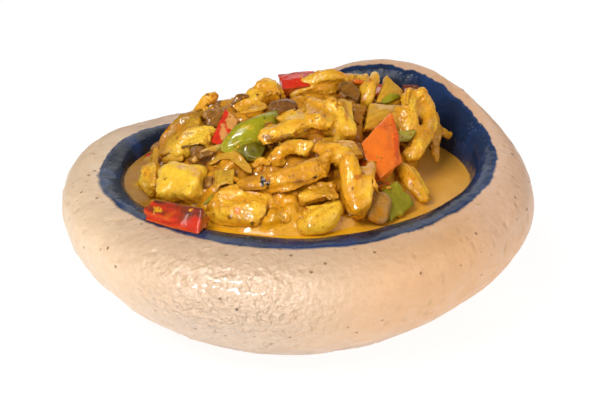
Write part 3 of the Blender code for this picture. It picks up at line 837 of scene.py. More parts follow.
def dress_torn(skin, solids, seed):
    """Relief and colours for pieces that hang together, each in its own solid's way."""
    away = np.empty((len(solids), len(skin.points)))
    for k, solid in enumerate(solids):
        for i, point in enumerate(skin.points):
            away[k, i] = solid.tree.find_nearest(Vector(point))[3]
    weights = np.exp(-(away - away.min(axis=0)) / 1.2)
    weights /= weights.sum(axis=0)
    forms = [{**MEAT_FORM, **FORMS.get(solid.name, {})} for solid in solids]
    frames = [Frame(solid.points) for solid in solids]
    places = [own.local(skin.points) for own in frames]
    seeds = [seed + 17 * k for k in range(len(solids))]
    reliefs = [meat_relief(local, own.half, form, number)
               for local, own, form, number in zip(places, frames, forms, seeds)]
    skin.push(sum(weight * lift for weight, (lift, _) in zip(weights, reliefs)))
    paint = 0
    for weight, local, (_, bundle), form, number in zip(weights, places, reliefs, forms, seeds):
        paint = paint + weight[:, None] * meat_paint(skin, local, bundle, form, number)
    return paint


def dress_pepper(skin, form, seed):
    """A glossy skinned side, paler flesh at the cuts, slight wrinkles."""
    local = skin.local
    wrinkle = noise(local * (0.4, 1, 1), 4.5, seed)
    skin.push(0.32 * wrinkle + 0.35 * noise(local, 9.0, seed + 1) + 0.06 * noise(local, 1.6, seed + 2))
    points = skin.points
    shade = ramp(noise(points, 8.0, seed + 3) + 0.3 * noise(points, 2.4, seed + 4), 0.0, 0.8)
    smear = ramp(noise(points, 7.0, seed + 7) + 0.3 * noise(points, 2.0, seed + 8), -1.1, 0.2)
    film = ramp(noise(points, 5.0, seed + 5) + 0.4 * noise(points, 1.8, seed + 6), 0.45, 0.75)
    return layered(
        mixed(form["flesh"], form["skin"], ramp(skin.normals @ skin.axes[2], 0.15, 0.5)),
        (form["dark"], 0.35 * shade),
        (form["dark"], form["top"] * smear * ramp(skin.normals[:, 2], 0.5, 0.75)),
        (SAUCE_GOLD, form["film"] * film),
        # Painted shade: darker down in the hollows
        (form["dark"], 0.6 * ramp(skin.depth, 0.03, 0.2)))


def dress_onion(skin, form, seed):
    """Translucent layers with veins along them."""
    local = skin.local
    vein = np.abs(noise(local * (0.12, 1, 1), 2.6, seed))
    skin.push(0.25 * (vein - 0.3) + 0.4 * noise(local, 8.0, seed + 1))
    tone = 0.45 + 1.1 * vein + 0.35 * noise(local, 7.0, seed + 2)
    return layered(
        mixed(ONION_DEEP, ONION_PALE, tone),
        (form["tint"], form["share"]),
        # Painted shade: darker down in the hollows
        (CREASE_SHADE, 0.6 * ramp(skin.depth, 0.04, 0.2)))


def dress_mushroom(skin, form, seed):
    """Dark gills inside a paler rim, slightly shrivelled."""
    local = skin.local
    gills = np.abs(noise(local * (1, 0.18, 1), 1.6, seed))
    skin.push(0.3 * (gills - 0.3) + 0.5 * noise(local, 6.0, seed + 1) + 0.12 * noise(local, 1.5, seed + 2))
    out = np.hypot(local[:, 0] / skin.half[0], local[:, 1] / skin.half[1])
    tone = 0.4 + 0.9 * gills + 0.4 * noise(local, 5.0, seed + 3)
    film = ramp(noise(skin.points, 6.0, seed + 4), 0.1, 0.6)
    return layered(
        mixed(form["dark"], form["brown"], tone),
        (MUSHROOM_PALE, form["pale"] * ramp(out, 0.72, 0.95)),
        (MEAT_DEEP, form["film"] * film))


MUSHROOM_FORM = dict(pale=0.6, film=0.35, brown=MUSHROOM_BROWN, dark=MUSHROOM_DARK)
RED = dict(skin=RED_SKIN, flesh=RED_FLESH, dark=(0.16, 0.02, 0.008), film=0.25, top=0.0)
ORANGE = dict(skin=ORANGE_SKIN, flesh=ORANGE_FLESH, dark=(0.70, 0.06, 0.01), film=0.04, top=0.0)
GREEN = dict(skin=GREEN_SKIN, flesh=GREEN_FLESH, dark=GREEN_DARK, film=0.3, top=0.0)

# What each kind of food is dressed by, and what some pieces have of their own.
KINDS = {"chicken": (dress_meat, MEAT_FORM), "onion": (dress_onion, dict(tint=MEAT, share=0.15)),
         "mushroom": (dress_mushroom, MUSHROOM_FORM), "red_pepper": (dress_pepper, RED),
         "orange_pepper": (dress_pepper, ORANGE), "green_pepper": (dress_pepper, GREEN)}
FORMS = {
    "chicken_left_chunk": dict(bundle=0.2, lump=1.6, crumb=0.3, fibre=0.1, bright=0.46, sear=0),
    "chicken_left_small": dict(bundle=0.6, crumb=0.6, bright=0.10, olive=0.5),
    "chicken_front_upright": dict(bundle=0.3, across=7.5, bright=0.04, crumb=0.16, sear=0.1),
    "chicken_front_lump": dict(bundle=0.4, lump=0.9, bright=0.34, crumb=0.14, sear=0),
    "chicken_front_left": dict(bundle=0.4, lump=0.9, crumb=0.3, bright=0.10, sear=0.1),
    "chicken_front_lobe": dict(bundle=0.4, bright=0.15),
    "chicken_right_front": dict(bundle=0.25, fibre=0.3, lump=0.3, crumb=0.1, bright=0.10, tear=0.2),
    "chicken_long_strip": dict(bundle=0.6, across=6.0, bright=-0.18),
    "chicken_centre_flat": dict(bundle=0.3, bright=0.0, lump=0.5, crumb=0.2),
    "chicken_mid_curl": dict(bundle=0.8, bright=0.12),
    "chicken_centre_ragged": dict(bundle=1.2, crumb=0.6, bright=-0.18, olive=0.3),
    "chicken_left_mid": dict(bundle=0.7, crumb=0.5, bright=0.42, olive=0.05),
    "chicken_left_strip": dict(bundle=0.7, across=4.5, bright=-0.62, olive=0.6),
    "chicken_left_tip": dict(bundle=1.0, bright=0.05, sear=0.5),
    "chicken_finger": dict(bundle=0.7, bright=0.22, lump=0.8, sear=0.1),
    "chicken_finger_thin": dict(bundle=0.6, bright=0.15),
    "chicken_top_lobe": dict(bundle=0.3, across=8.0, bright=0.22, fibre=0.1, crumb=0.1, sear=0.1),
    "chicken_centre": dict(bundle=0.8, crumb=0.4, bright=0.04, sear=0.4),
    "chicken_back_left": dict(bundle=1.1, bright=0.12),
    "chicken_back_low": dict(bundle=0.9, bright=-0.02),
    "chicken_back_centre": dict(bundle=0.8, crumb=0.4, bright=0.12),
    "chicken_cone": dict(bundle=0.6, bright=0.2, sear=0.5),
    # chicken_shade: bright -0.9 paints the shade it lies in into its colour
    "chicken_shade": dict(bundle=0.9, crumb=0.5, bright=-0.9, sear=0.5),
    "chicken_right_a": dict(bundle=0.9, crumb=0.4, bright=0.1),
    "chicken_right_b": dict(bundle=0.5, across=5.0, bright=0.06),
    "chicken_right_c": dict(bundle=0.7, across=3.5, crumb=0.4, bright=-0.05),
    "chicken_right_tip": dict(bundle=0.7, bright=-0.05),
    "onion_square": dict(tint=OLIVE, share=0.2),
    "onion_arch": dict(tint=BROWN_TINT, share=0.45),
    "mushroom_top": dict(pale=0.3, film=0.2, brown=(0.28, 0.11, 0.018), dark=(0.09, 0.035, 0.008)),
    "mushroom_front": dict(pale=0.9, film=1.0, brown=(0.50, 0.24, 0.035), dark=(0.30, 0.13, 0.02)),
    "pepper_dark_back": dict(skin=(0.22, 0.03, 0.01), flesh=(0.2, 0.05, 0.01), dark=(0.06, 0.01, 0.006),
                             film=0.1),
    "pepper_green_front": dict(skin=(0.36, 0.31, 0.010), film=0.1),
    "pepper_red_front": dict(skin=(0.62, 0.028, 0.007), top=1.0, film=0.1, dark=(0.22, 0.035, 0.010)),
}


def kind_of(node):
    """Which slot's food a piece is made of, told from its name."""
    for word, slot in (("chicken", "chicken"), ("heap", "chicken"), ("orange", "orange_pepper"),
                       ("green", "green_pepper"), ("pepper", "red_pepper"), ("onion", "onion")):
        if word in node:
            return slot
    return "mushroom"


def dress(node, skin, seed, **changes):
    """Presses a node's relief into its skin and returns its colours."""
    press, form = KINDS[kind_of(node)]
    return press(skin, {**form, **FORMS.get(node, {}), **changes}, seed)


# How much each solid of food grows before it is skinned, and how often its skin is smoothed.
# The longest key that a node's name starts with counts.
GROWTH = {"chicken": -0.8, "chicken_long_strip": -1.6, "chicken_front_upright": -2.2,
          "chicken_mid_curl": -1.8, "chicken_right_b": -0.9, "chicken_right_front": -1.2,
          "chicken_front_left": 0.3, "chicken_front_lobe": 0.3, "chicken_front_lump": -2.4,
          "chicken_left_chunk": 0.5, "chicken_centre_flat": -1.6, "onion_arch": -0.9,
          "chicken_back_centre": -1.8, "chicken_left_strip": -1.4, "chicken_left_tip": -1.4,
          "chicken_finger": -1.2, "pepper_green_main": -1.8, "pepper": 0.2, "onion": 0.3,
          "mushroom": 0.3, "brown": 0.3}
ROUNDING = {"chicken": 9, "chicken_centre": 12, "chicken_right": 6, "chicken_back": 7,
            "chicken_left_tip": 6, "chicken_cone": 6, "chicken_front_upright": 12,
            "chicken_left_chunk": 36, "chicken_front_lump": 16, "chicken_front_left": 16,
            "chicken_top_lobe": 14, "chicken_right_b": 7, "mushroom_front": 14, "pepper": 3,
            "pepper_green_main": 9, "onion": 3, "mushroom": 4, "brown": 3}

# Millimetres between the points of a skin; pieces named in FINE get the finer one.
FINE = ("chicken_centre", "chicken_centre_flat", "chicken_front_left")
MEAT_VOXEL, FINE_VOXEL, LOOSE_VOXEL, SMALL_VOXEL, DRIP_VOXEL = 0.7, 0.6, 1.1, 0.5, 0.4

# Strands of meat on each piece: places on its front (share across, share up, lift), the widths
# along them, and how flat they are.
STRANDS = {
    "chicken_back_centre": [
        ([(0, 0.25, -3), (0.2, 0.55, -3), (0.55, 0.8, -2.5), (0.9, 0.75, -2.5)], (6, 8, 7, 4), 0.8),
        ([(0.2, 0.2, -4), (0.45, 0.4, -4), (0.7, 0.45, -4)], (7, 7, 5), 0.8)],
    "chicken_back_left": [
        ([(0.05, 0.45, -3), (0.3, 0.75, -2.5), (0.5, 0.85, -3), (0.7, 0.55, -3)], (5, 6, 6, 6), 0.9)],
    "chicken_back_low": [([(-0.05, 0.8, -3), (0.45, 0.85, -3), (0.9, 0.45, -4)], (6, 8, 6), 0.7)],
    "chicken_centre": [
        ([(0.3, 0.9, -3), (0.6, 0.75, -3), (0.9, 0.8, -4)], (6, 7, 6), 0.9),
        ([(0.3, 0.45, -4), (0.6, 0.35, -3), (0.8, 0.1, -4)], (9, 9, 7), 0.8)],
    "chicken_centre_flat": [
        ([(0.1, 0.6, -3), (0.35, 0.5, -2.5), (0.6, 0.3, -3), (0.8, 0.05, -3.5)], (7, 10, 12, 9), 0.7),
        ([(0.25, 0.35, -3), (0.35, 0, -2.5), (0.1, -0.25, -2.5), (-0.25, -0.45, -3)], (9, 10, 9, 6), 0.7),
        ([(0.5, 0.2, -3), (0.6, -0.15, -2.5), (0.6, -0.6, -3)], (9, 10, 8), 0.7)],
    "chicken_centre_ragged": [
        ([(0.05, 0.65, -3), (0.45, 0.75, -3), (0.8, 0.6, -4)], (6, 7, 6), 0.7),
        ([(0.2, 0.3, -4), (0.55, 0.4, -4)], (6, 6), 0.7)],
    "chicken_cone": [([(0.4, 0.1, -3), (0.6, 0.5, -2.5), (0.75, 0.85, -2.5)], (9, 7, 3), 0.9)],
    "chicken_finger": [
        ([(0.1, 0.35, -3.5), (0.45, 0.45, -2.5), (0.8, 0.65, -2.5), (1.15, 0.75, -2), (1.4, 0.65, -3)],
         (10, 9.5, 9, 9, 8), 0.85),
        ([(0.55, 0.4, -3.5), (0.9, 0.5, -4), (1.2, 0.45, -5)], (6, 8, 8), 0.8)],
    "chicken_finger_thin": [([(0.1, 0.1, -2), (0.5, 0.45, -2), (0.95, 0.7, -2.5)], (4, 5, 5), 0.9)],
    "chicken_front_left": [
        ([(0.1, 0.5, -4.5), (0.3, 0.65, -4), (0.6, 0.65, -4), (0.85, 0.5, -5)], (10, 13, 13, 10), 0.7),
        ([(0.1, 0.25, -4.5), (0.4, 0.3, -4), (0.7, 0.25, -4), (0.95, 0.1, -5)], (12, 15, 15, 12), 0.7),
        ([(0.2, 0, -3), (0.55, 0, -2), (0.85, -0.05, -3)], (12, 15, 12), 0.7)],
    "chicken_front_lobe": [([(0.05, 0.85, -3), (0.1, 0.4, -3), (-0.2, 0.1, -4)], (6, 8, 6), 0.8)],
    "chicken_front_lump": [
        ([(0.1, 0.2, -4.5), (0.3, 0.2, -3.5), (0.6, 0.4, -4), (0.85, 0.7, -4.5), (1, 0.85, -6)],
         (11, 13, 13, 10, 6), 0.85)],
    "chicken_front_upright": [
        ([(0.35, 0.9, -3), (0.45, 0.65, -2.5), (0.5, 0.4, -2.5), (0.55, 0.2, -3), (0.55, -0.05, -3.5)],
         (11, 12.5, 12, 10, 7), 0.7),
        ([(0.9, 0.95, 0.5), (0.85, 0.75, -0.5), (0.75, 0.55, -2), (0.65, 0.25, -3), (0.6, 0, -4)],
         (3.4, 6, 8, 8, 6), 0.75)],
    "chicken_left_chunk": [
        ([(0.2, 0.75, -5), (0.45, 0.8, -4.5), (0.75, 0.75, -6)], (9, 12, 9), 0.8),
        ([(0.25, 0.5, -6), (0.55, 0.4, -5.5), (0.75, 0.2, -7)], (12, 15, 12), 0.8),
        ([(0.3, 0.7, -5), (0.6, 0.65, -4.5)], (13, 13), 0.8)],
    "chicken_left_mid": [
        ([(0.25, 0.4, -4), (0.45, 0.7, -3.5), (0.8, 0.8, -4)], (9, 10, 8), 0.6),
        ([(0.3, 0.15, -5), (0.55, 0.35, -4), (0.75, 0.45, -5)], (6, 7, 6), 0.6)],
    "chicken_left_small": [([(0.2, 0.75, -3), (0.25, 0.45, -3), (0.45, 0.2, -4)], (6, 8, 6), 0.8)],
    "chicken_left_strip": [
        ([(0.1, 0, -3), (0.2, 0.45, -2.5), (0.55, 0.8, -2.5), (0.95, 0.95, -3)], (4.5, 7, 8, 7), 0.5),
        ([(0.3, 0.1, -4), (0.5, 0.5, -3.5), (0.9, 0.75, -3.5)], (6, 7, 6), 0.5)],
    "chicken_left_tip": [([(0.3, 0.25, -3), (0.55, 0.6, -2.5), (0.8, 0.85, -2.5)], (5, 6.5, 6), 0.85)],
    "chicken_long_strip": [
        ([(0, 0.4, -2), (0.15, 0.25, -2), (0.3, 0.25, -2.5)], (3.6, 5, 7), 0.8),
        ([(0.25, 0.3, -3), (0.5, 0.45, -3), (0.7, 0.65, -3), (0.9, 0.8, -4)], (8, 9, 9.5, 8), 0.75),
        ([(0.35, 0.1, -4), (0.6, 0.25, -4), (0.8, 0.45, -4)], (5, 6, 5), 0.7)],
    "chicken_mid_curl": [
        ([(0.15, 0.25, -3), (0.3, 0.5, -2.5), (0.6, 0.65, -2.5), (0.8, 0.5, -3)], (6, 7.5, 7, 5), 0.9),
        ([(-0.05, 0.05, -3), (0.3, 0.2, -4), (0.6, 0.25, -5)], (5, 5, 4), 0.8)],
    "chicken_right_a": [([(0.35, 0.65, -3), (0.6, 0.7, -2.5), (0.35, 0.25, -3)], (5, 6, 5), 0.8)],
    "chicken_right_b": [
        ([(0.6, 1.05, -2.5), (0.8, 0.75, -2.5), (0.5, 0.25, -2.5), (0.05, 0, -3)],
         (6, 7.5, 8.5, 7), 0.85),
        ([(0.35, 1.05, -3), (0.25, 0.75, -3), (0.1, 0.4, -3.5)], (5, 6, 5.5), 0.85),
        ([(0.05, 0.8, -4), (-0.1, 0.6, -4), (-0.25, 0.3, -4.5)], (4, 5, 5), 0.9),
        ([(0.3, 0.95, -3.5), (0.35, 0.65, -3.5), (0.2, 0.35, -4)], (9, 9, 8), 0.8)],
    "chicken_right_c": [([(0.5, 0.9, -2), (0.5, 0.45, -2), (0.6, 0, -2.5)], (4, 4.5, 3), 0.9)],
    "chicken_right_front": [([(0.05, 0.85, -2), (0.4, 0.45, -2), (0.8, 0, -2)], (8, 8.5, 5), 0.45)],
    "chicken_right_tip": [([(0.05, 0.75, -2), (0.85, 0.5, -2)], (5, 3.5), 0.8)],
    "chicken_shade": [([(0.05, 0.6, -4), (0.4, 0.3, -4), (0.6, -0.05, -5)], (8, 8, 6), 0.7)],
    "chicken_top_lobe": [
        ([(0.25, 0.8, -3), (0.45, 0.6, -3), (0.65, 0.3, -3)], (8, 9, 11.5), 0.8),
        ([(0.4, 0.4, -4), (0.45, 0.15, -4)], (7, 8), 0.9)],
    "onion_arch": [
        ([(-0.3, 0.6, -1), (-0.05, 0.95, -1), (0.35, 1.1, -1), (0.7, 0.65, -1), (0.95, 0, -1)],
         (3.6, 4, 4.2, 4, 3.2), 0.4)],
    "pepper_green_front": [
        ([(0.2, 0.8, -2), (0.55, 0.25, -2)], (5, 5), 0.6),
        ([(0.45, 0.85, -2), (0.8, 0.45, -2)], (5, 5), 0.6)],
    "pepper_green_main": [
        ([(0.25, 0.4, -3.5), (0.45, 0.6, -2.5), (0.75, 0.75, -2.5), (1, 0.95, -3)],
         (9, 13, 14, 11), 0.65),
        ([(0.35, 0.3, -5), (0.6, 0.3, -4.5), (0.85, 0.3, -5)], (9, 11, 9), 0.6),
        ([(0.45, 0.45, -5.5), (0.75, 0.5, -5.5)], (9, 10), 0.6)],
    "pepper_orange": [
        ([(0.8, 0.95, -2), (0.85, 0.65, -2), (0.75, 0.3, -2.5), (0.55, 0.1, -3)], (4, 6, 6, 4), 0.9)],
    "pepper_red_front": [([(0.05, 0.65, -2.5), (0.4, 0.45, -2.5), (0.75, 0.35, -3)], (6, 7, 6), 0.9)],
}

# Spots on the front of a piece: share across, share up, radius, colour, strength, tallness.
SPOTS = {
    "chicken_back_centre": [(0.9, 0.85, 1.6, PINK_MEAT, 0.6, 0.6)],
    "chicken_back_left": [(0.3, 0.7, 0.6, SEARED, 0.6, 1.0)],
    "chicken_centre": [
        (0.9, 0.9, 1.2, PAPRIKA, 0.7, 0.7), (0.65, 0.55, 1.1, SEARED, 0.7, 1.0),
        (0.35, 0.4, 0.6, SEARED, 0.8, 1.0), (0.55, 0.15, 2.4, MEAT_RUST, 0.6, 0.6),
        (0.2, 0.2, 1.6, SEARED, 0.5, 0.6)],
    "chicken_centre_flat": [(0.1, 0.05, 0.6, SEARED, 0.7, 1.0)],
    "chicken_centre_ragged": [(0.45, 0.85, 1.2, SEARED, 0.6, 0.8), (0.05, 0.1, 0.9, PAPRIKA, 0.8, 0.8)],
    "chicken_cone": [
        (0.55, 0.7, 1.6, PAPRIKA, 0.6, 0.9), (0.3, 0.1, 1.4, MEAT_RUST, 0.8, 0.8),
        (0.3, 0.25, 1.0, MEAT_RUST, 0.7, 0.8)],
    "chicken_finger": [
        (0.15, 0.3, 3.0, SEARED, 0.7, 0.6), (0.35, 0.25, 3.2, SEARED, 0.7, 0.6),
        (0.5, 0.35, 3.2, SEARED, 0.7, 0.6), (0.7, 0.4, 1.6, MEAT_RUST, 0.7, 0.8)],
    "chicken_front_left": [
        (0.3, 0.2, 1.5, SEARED, 0.75, 0.9), (0.6, 0.05, 1.1, CHAR, 0.8, 1.1),
        (0.4, 0.35, 1.7, ORANGE_SKIN, 0.9, 1.0), (0.5, 0.6, 0.6, PAPRIKA, 0.8, 1.0)],
    "chicken_front_lump": [(0.15, 0.65, 1.2, PAPRIKA, 0.85, 0.8), (0.4, 0.45, 0.5, SEARED, 0.7, 1.0)],
    "chicken_front_upright": [
        (0.55, 0.7, 2.1, PAPRIKA, 0.65, 0.8), (0.65, 0.75, 1.2, SEARED, 0.6, 0.8),
        (0.4, 0.1, 0.5, SEARED, 0.7, 1.0)],
    "chicken_left_chunk": [
        (0.2, 0.6, 0.8, SEARED, 0.8, 1.0), (0.5, 0.9, 3.0, PINK_MEAT, 0.55, 0.35),
        (0.75, 0.85, 2.6, PINK_MEAT, 0.5, 0.35)],
    "chicken_left_strip": [(0.7, 0.55, 2.6, SEARED, 0.45, 0.5), (0.5, 0.8, 1.0, SEARED, 0.6, 0.6)],
    "chicken_left_tip": [(0.85, 0.65, 2.6, MEAT_RUST, 0.8, 1.8)],
    "chicken_long_strip": [
        (0.3, 0.35, 1.4, CHAR, 1.0, 2.0), (0.35, 0.3, 1.3, CHAR, 1.0, 1.6),
        (0.35, 0.4, 1.2, MEAT_RUST, 0.7, 1.4), (0.35, 0.15, 1.0, CHAR, 0.9, 0.8),
        (0.6, 0.5, 0.5, SEARED, 0.8, 1.0)],
    # The wide, low CHAR spot on chicken_mid_curl is painted shade in a dark slot
    "chicken_mid_curl": [(0.7, 0.35, 1.9, CHAR, 0.85, 0.45), (0.05, 0, 1.2, SEARED, 0.5, 0.6)],
    "chicken_right_b": [(0.3, 0.4, 0.7, SEARED, 0.5, 1.0)],
    "chicken_right_front": [(0.55, 0.25, 0.8, SEARED, 0.7, 0.7), (0.3, 0.5, 0.6, PAPRIKA, 0.7, 0.8)],
    "chicken_top_lobe": [
        (0.4, 0.75, 1.0, PAPRIKA, 0.7, 1.8), (0.25, 0.15, 1.4, PAPRIKA, 0.4, 0.6),
        (0.65, 0.6, 1.2, MEAT_RUST, 0.7, 3.5), (0.45, 0.85, 1.3, MEAT_RUST, 0.6, 1.0)],
    "pepper_green_main": [
        (0.75, 0.9, 0.5, CHAR, 0.9, 1.2), (0.6, 0.3, 0.6, CHAR, 0.9, 1.6),
        # The wide GREEN_DARK spots are painted shade on the lower fold, which faces down
        (0.55, 0.3, 8.0, GREEN_DARK, 0.62, 0.45), (0.85, 0.3, 8.0, GREEN_DARK, 0.62, 0.5),
        (1, 0.4, 5.0, GREEN_DARK, 0.6, 0.7), (0.7, 0.3, 9.0, GREEN_DARK, 0.45, 0.5)],
    "pepper_orange": [(0.9, 0.55, 1.9, ORANGE_DEEP, 0.75, 5.0), (0.85, 0.85, 1.2, ORANGE_DEEP, 0.6, 3.0)],
    "pepper_red_front": [
        (0.2, 0.95, 2.2, RED_CHAR, 0.8, 0.5), (0.7, 0.6, 2.6, RED_CHAR, 0.75, 0.5),
        (0.9, 0.65, 3.0, RED_CHAR, 0.6, 1.2), (0.45, 0.8, 3.0, RED_CHAR, 0.4, 0.4),
        (0.2, 0.7, 2.2, SAUCE_GOLD, 0.65, 0.7), (0.1, 1, 1.2, SAUCE_GOLD, 0.7, 0.7)],
    "pepper_red_left": [
        (0.8, 0.7, 3.4, PALE_PEPPER, 0.85, 1.9), (0.45, 0.45, 2.4, PALE_PEPPER, 0.8, 1.6)],
}


def chosen(table, node):
    """The value of the longest key that the node's name starts with."""
    return table[max((key for key in table if node.startswith(key)), key=len)]


# Pieces of chicken that hang together, torn but not apart; the first gives the name.
TORN = (("chicken_centre", "chicken_finger", "chicken_finger_thin", "chicken_top_lobe"),
        ("chicken_centre_flat", "chicken_front_upright", "chicken_long_strip"),
        ("chicken_front_left", "chicken_front_lobe"),
        ("chicken_left_mid", "chicken_left_strip"),
        ("chicken_back_left", "chicken_back_low"),
        ("chicken_right_b", "chicken_right_a", "chicken_right_c", "chicken_right_tip"))
WEB = 1.3                   # gaps up to twice this wide close between pieces that hang together
NOT_PIECES = {"pot", "sauce", "heap_core"}


def piece_names():
    """The nodes of food that lie on the core, in the order of their names."""
    return [node for node in sorted(frame["nodes"]) if node not in NOT_PIECES]


def make_food(materials):
    """The finer pieces that stand for the food's nodes."""
    torn = {node for group in TORN for node in group}
    groups = [*TORN, *((node,) for node in piece_names() if node not in torn)]
    for number, group in enumerate(groups):
        solids = [Solid(node) for node in group]
        slot = kind_of(group[0])
        web = WEB if len(group) > 1 else 0.0
        parts = []
        for solid in solids:
            grow = chosen(GROWTH, solid.name) + web
            normals = point_normals(solid.points, solid.faces)
            parts.append((solid.points + normals * grow, solid.faces))
            for places, widths, flat in STRANDS.get(solid.name, []):
                parts += solid.strand(places, [width + 2 * web for width in widths], flat)
        voxel = MEAT_VOXEL if slot == "chicken" and group[0] not in FINE else FINE_VOXEL
        skin = Skin(skinned(parts, voxel, chosen(ROUNDING, group[0])))
        seed = 100 + 13 * number
        if web:
            skin.push(np.full(len(skin.points), -web))
            paint = dress_torn(skin, solids, seed)
        else:
            paint = dress(group[0], skin, seed)
        for solid in solids:
            for k, (across, up, size, colour, strength, tall) in enumerate(SPOTS.get(solid.name, [])):
                paint = mixed(paint, colour, strength * skin.spot(solid, across, up, size, k, tall))
        add_piece(group[0] + "_cooked", [(skin.points, skin.faces, paint)], materials[slot], group)


# Small pieces lying on the front: the food, places (millimetres across and up as seen from the
# front, and lift), the widths along them, and how flat they are.
SMALL = [
    ("onion", [(-71.5, 79, 0.6), (-66.5, 80.5, 0.8), (-61.5, 80, 0.6)], (4, 5.5, 4), 0.5),
    ("orange_pepper", [(30.5, 123.5, 0.3), (34.5, 123, 0.3)], (3.5, 3), 0.8),
    ("orange_pepper", [(40, 65, 0.4), (45, 66.5, 0.4)], (3, 3.2), 0.7),
    ("chicken", [(36, 68.5, 0.8), (36.5, 65.5, 0.8), (38.5, 62, 0.5)], (1.6, 2.8, 2), 0.6),
    ("chicken", [(41, 63.5, 0.5), (45, 64.5, 0.5)], (2.5, 2.2), 0.7),
    ("green_pepper", [(45.5, 111.5, 0.6), (49, 113.5, 0.8), (52.5, 114, 0.6)], (4, 5.5, 4), 0.45),
    ("onion", [(9.5, 87, 0.2), (13.5, 88, 0.5), (17.5, 88, 0.2)], (3.5, 5, 4), 0.6),
    ("mushroom", [(-36, 108.5, 0.3), (-32.5, 112, 0.4), (-28, 113, 0.3)], (3, 4.5, 3), 0.5),
    ("mushroom", [(-57, 78.5, 0.5), (-51, 81, 0.7), (-45, 82.5, 0.5)], (3, 4, 3), 0.4),
    ("green_pepper", [(-47.5, 56.5, 0.6), (-45, 58.5, 0.6), (-43.5, 61, 0.4)], (1.5, 2, 1.4), 0.5),
    ("chicken", [(57, 110.5, 0.6), (58, 116.5, 0.6)], (3, 3.4), 0.8),
    ("chicken", [(-22, 76, 0.6), (-19, 78, 0.8), (-16, 77, 0.5)], (4, 5, 3.5), 0.8),
    ("chicken", [(20.5, 108, 0.8), (22, 108.5, 0.8)], (3, 3), 0.9),
]


def make_small(materials, food):
    """The small bits on the front of the heap."""
    made = {}
    for i, (kind, places, widths, flat) in enumerate(SMALL):
        path = []
        for across, up, lift in places:
            plane = on_picture(across, up)
            hit = met(food, plane)
            path.append((plane if hit is None else hit) + TOWARDS_CAMERA * lift)
        skin = Skin(skinned(strand(path, widths, flat, TOWARDS_CAMERA), SMALL_VOXEL, 2))
        paint = dress(kind, skin, 900 + 11 * i)
        made.setdefault(kind, []).append((skin.points, skin.faces, paint))
    for kind, parts in made.items():
        add_piece("small_" + kind, parts, materials[kind])


# ---------------------------------------- the core and its far side
CORE_SINK = 6.5             # how far the core lies inside its CAD solid on the far side
REAR_FROM, REAR_FULL = 36.0, 48.0   # where the far side begins, and where it is sunk in full
REAR_PIECES = 96
REAR_CLEAR = 8.5            # how far apart the middles of its pieces lie at least
SHRED_TRIES, SHRED_CLEAR = 2500, 5.5


def across_slope(draw, normal):
    """A level direction at random, turned to lie on the slope."""
    turn = draw.uniform(0, math.pi)
    return normal.cross(Vector((math.cos(turn), math.sin(turn), 0.1))).normalized()


def front_shreds(core):
    """Torn bits of meat in the gaps between the pieces on the front, to be skinned with the core."""
    draw = np.random.default_rng(31)
    others = [Solid(name).tree for name in piece_names()]
    back = Vector(-TOWARDS_CAMERA)
    found, parts = [], []
    for _ in range(SHRED_TRIES):
        start = Vector(on_picture(*draw.uniform(core.low, core.high)) + TOWARDS_CAMERA * RAY_START)
        spot, normal = core.tree.ray_cast(start, back)[:2]
        if spot is None or spot.z < SAUCE_LEVEL + 7 or spot.y > REAR_FROM or abs(spot.x) > 62:
            continue
        if any((spot - other).length < SHRED_CLEAR for other in found):
            continue
        if any(tree.ray_cast(start, back, (spot - start).length)[0] for tree in others):
            continue
        found.append(spot)
        side = across_slope(draw, normal)
        length, width = draw.uniform(7, 14), draw.uniform(5, 8)
        path = lying_path(core.tree, spot, normal, side, length, -draw.uniform(0.0, 2.2))
        widths = [width * share * draw.uniform(0.8, 1.15) for share in (0.5, 0.9, 1.05, 0.9, 0.5)]
        parts += strand(path, widths, 0.75, np.array(normal))
    return parts


def make_core(material):
    """Lumpy, saucy filling that shows in the gaps, sunk on the far side under real pieces."""
    solid = Solid("heap_core")
    skin = Skin(skinned([(solid.points, solid.faces)] + front_shreds(solid), LOOSE_VOXEL, 4))
    rear = ramp(skin.points[:, 1], REAR_FROM, REAR_FULL)
    points = skin.points
    lumps = np.abs(noise(points, 6.5, 301)) * 3.2 - 1.2 + 0.5 * noise(points, 2.2, 302)
    lumps += 0.2 * noise(points, 1.2, 303)
    above = ramp(points[:, 2], SAUCE_LEVEL + 1, SAUCE_LEVEL + 8)
    skin.push((0.6 * lumps + 1.2 * (1 - rear)) * above - 2.5 * (1 - above) - CORE_SINK * rear * above)
    tone = 0.45 + 0.45 * noise(points, 9.0, 304) + 0.3 * np.abs(noise(points, 6.5, 301))
    paint = layered(
        mixed(MEAT_DEEP, MEAT, ramp(tone, 0.0, 0.8)),
        (SAUCE_GOLD, 0.8 * ramp(SAUCE_LEVEL + 14 - points[:, 2], 0, 10)),
        # Painted shade: darker down in the hollows
        (CREASE_SHADE, 0.6 * ramp(skin.depth, 0.05, 0.4)))
    add_piece("heap_filling", [(skin.points, skin.faces, paint)], material, ["heap_core"])


def free_places(draw, count, inside, clear):
    """Places on the bare CAD core seen from above: (point, normal), spread apart by clear."""
    solids = [Solid(name) for name in sorted(frame["nodes"]) if name not in ("pot", "sauce")]
    owners = [solid.name for solid in solids for _ in solid.faces]
    tree = tree_of(*merged([(solid.points, solid.faces) for solid in solids]))
    found = []
    for _ in range(count * 60):
        x, y = draw.uniform(-92, 70), draw.uniform(-80, 86)
        if not inside(x, y):
            continue
        spot, normal, index, _ = tree.ray_cast(Vector((x, y, 200)), Vector((0, 0, -1)))
        if spot is None or owners[index] != "heap_core" or spot.z < SAUCE_LEVEL - 3:
            continue
        if spot.y < REAR_FROM and not tree.ray_cast(spot + normal * 6, Vector(TOWARDS_CAMERA))[0]:
            continue
        if all((spot - other).length > clear for other, _ in found):
            found.append((spot, normal))
        if len(found) == count:
            break
    return found


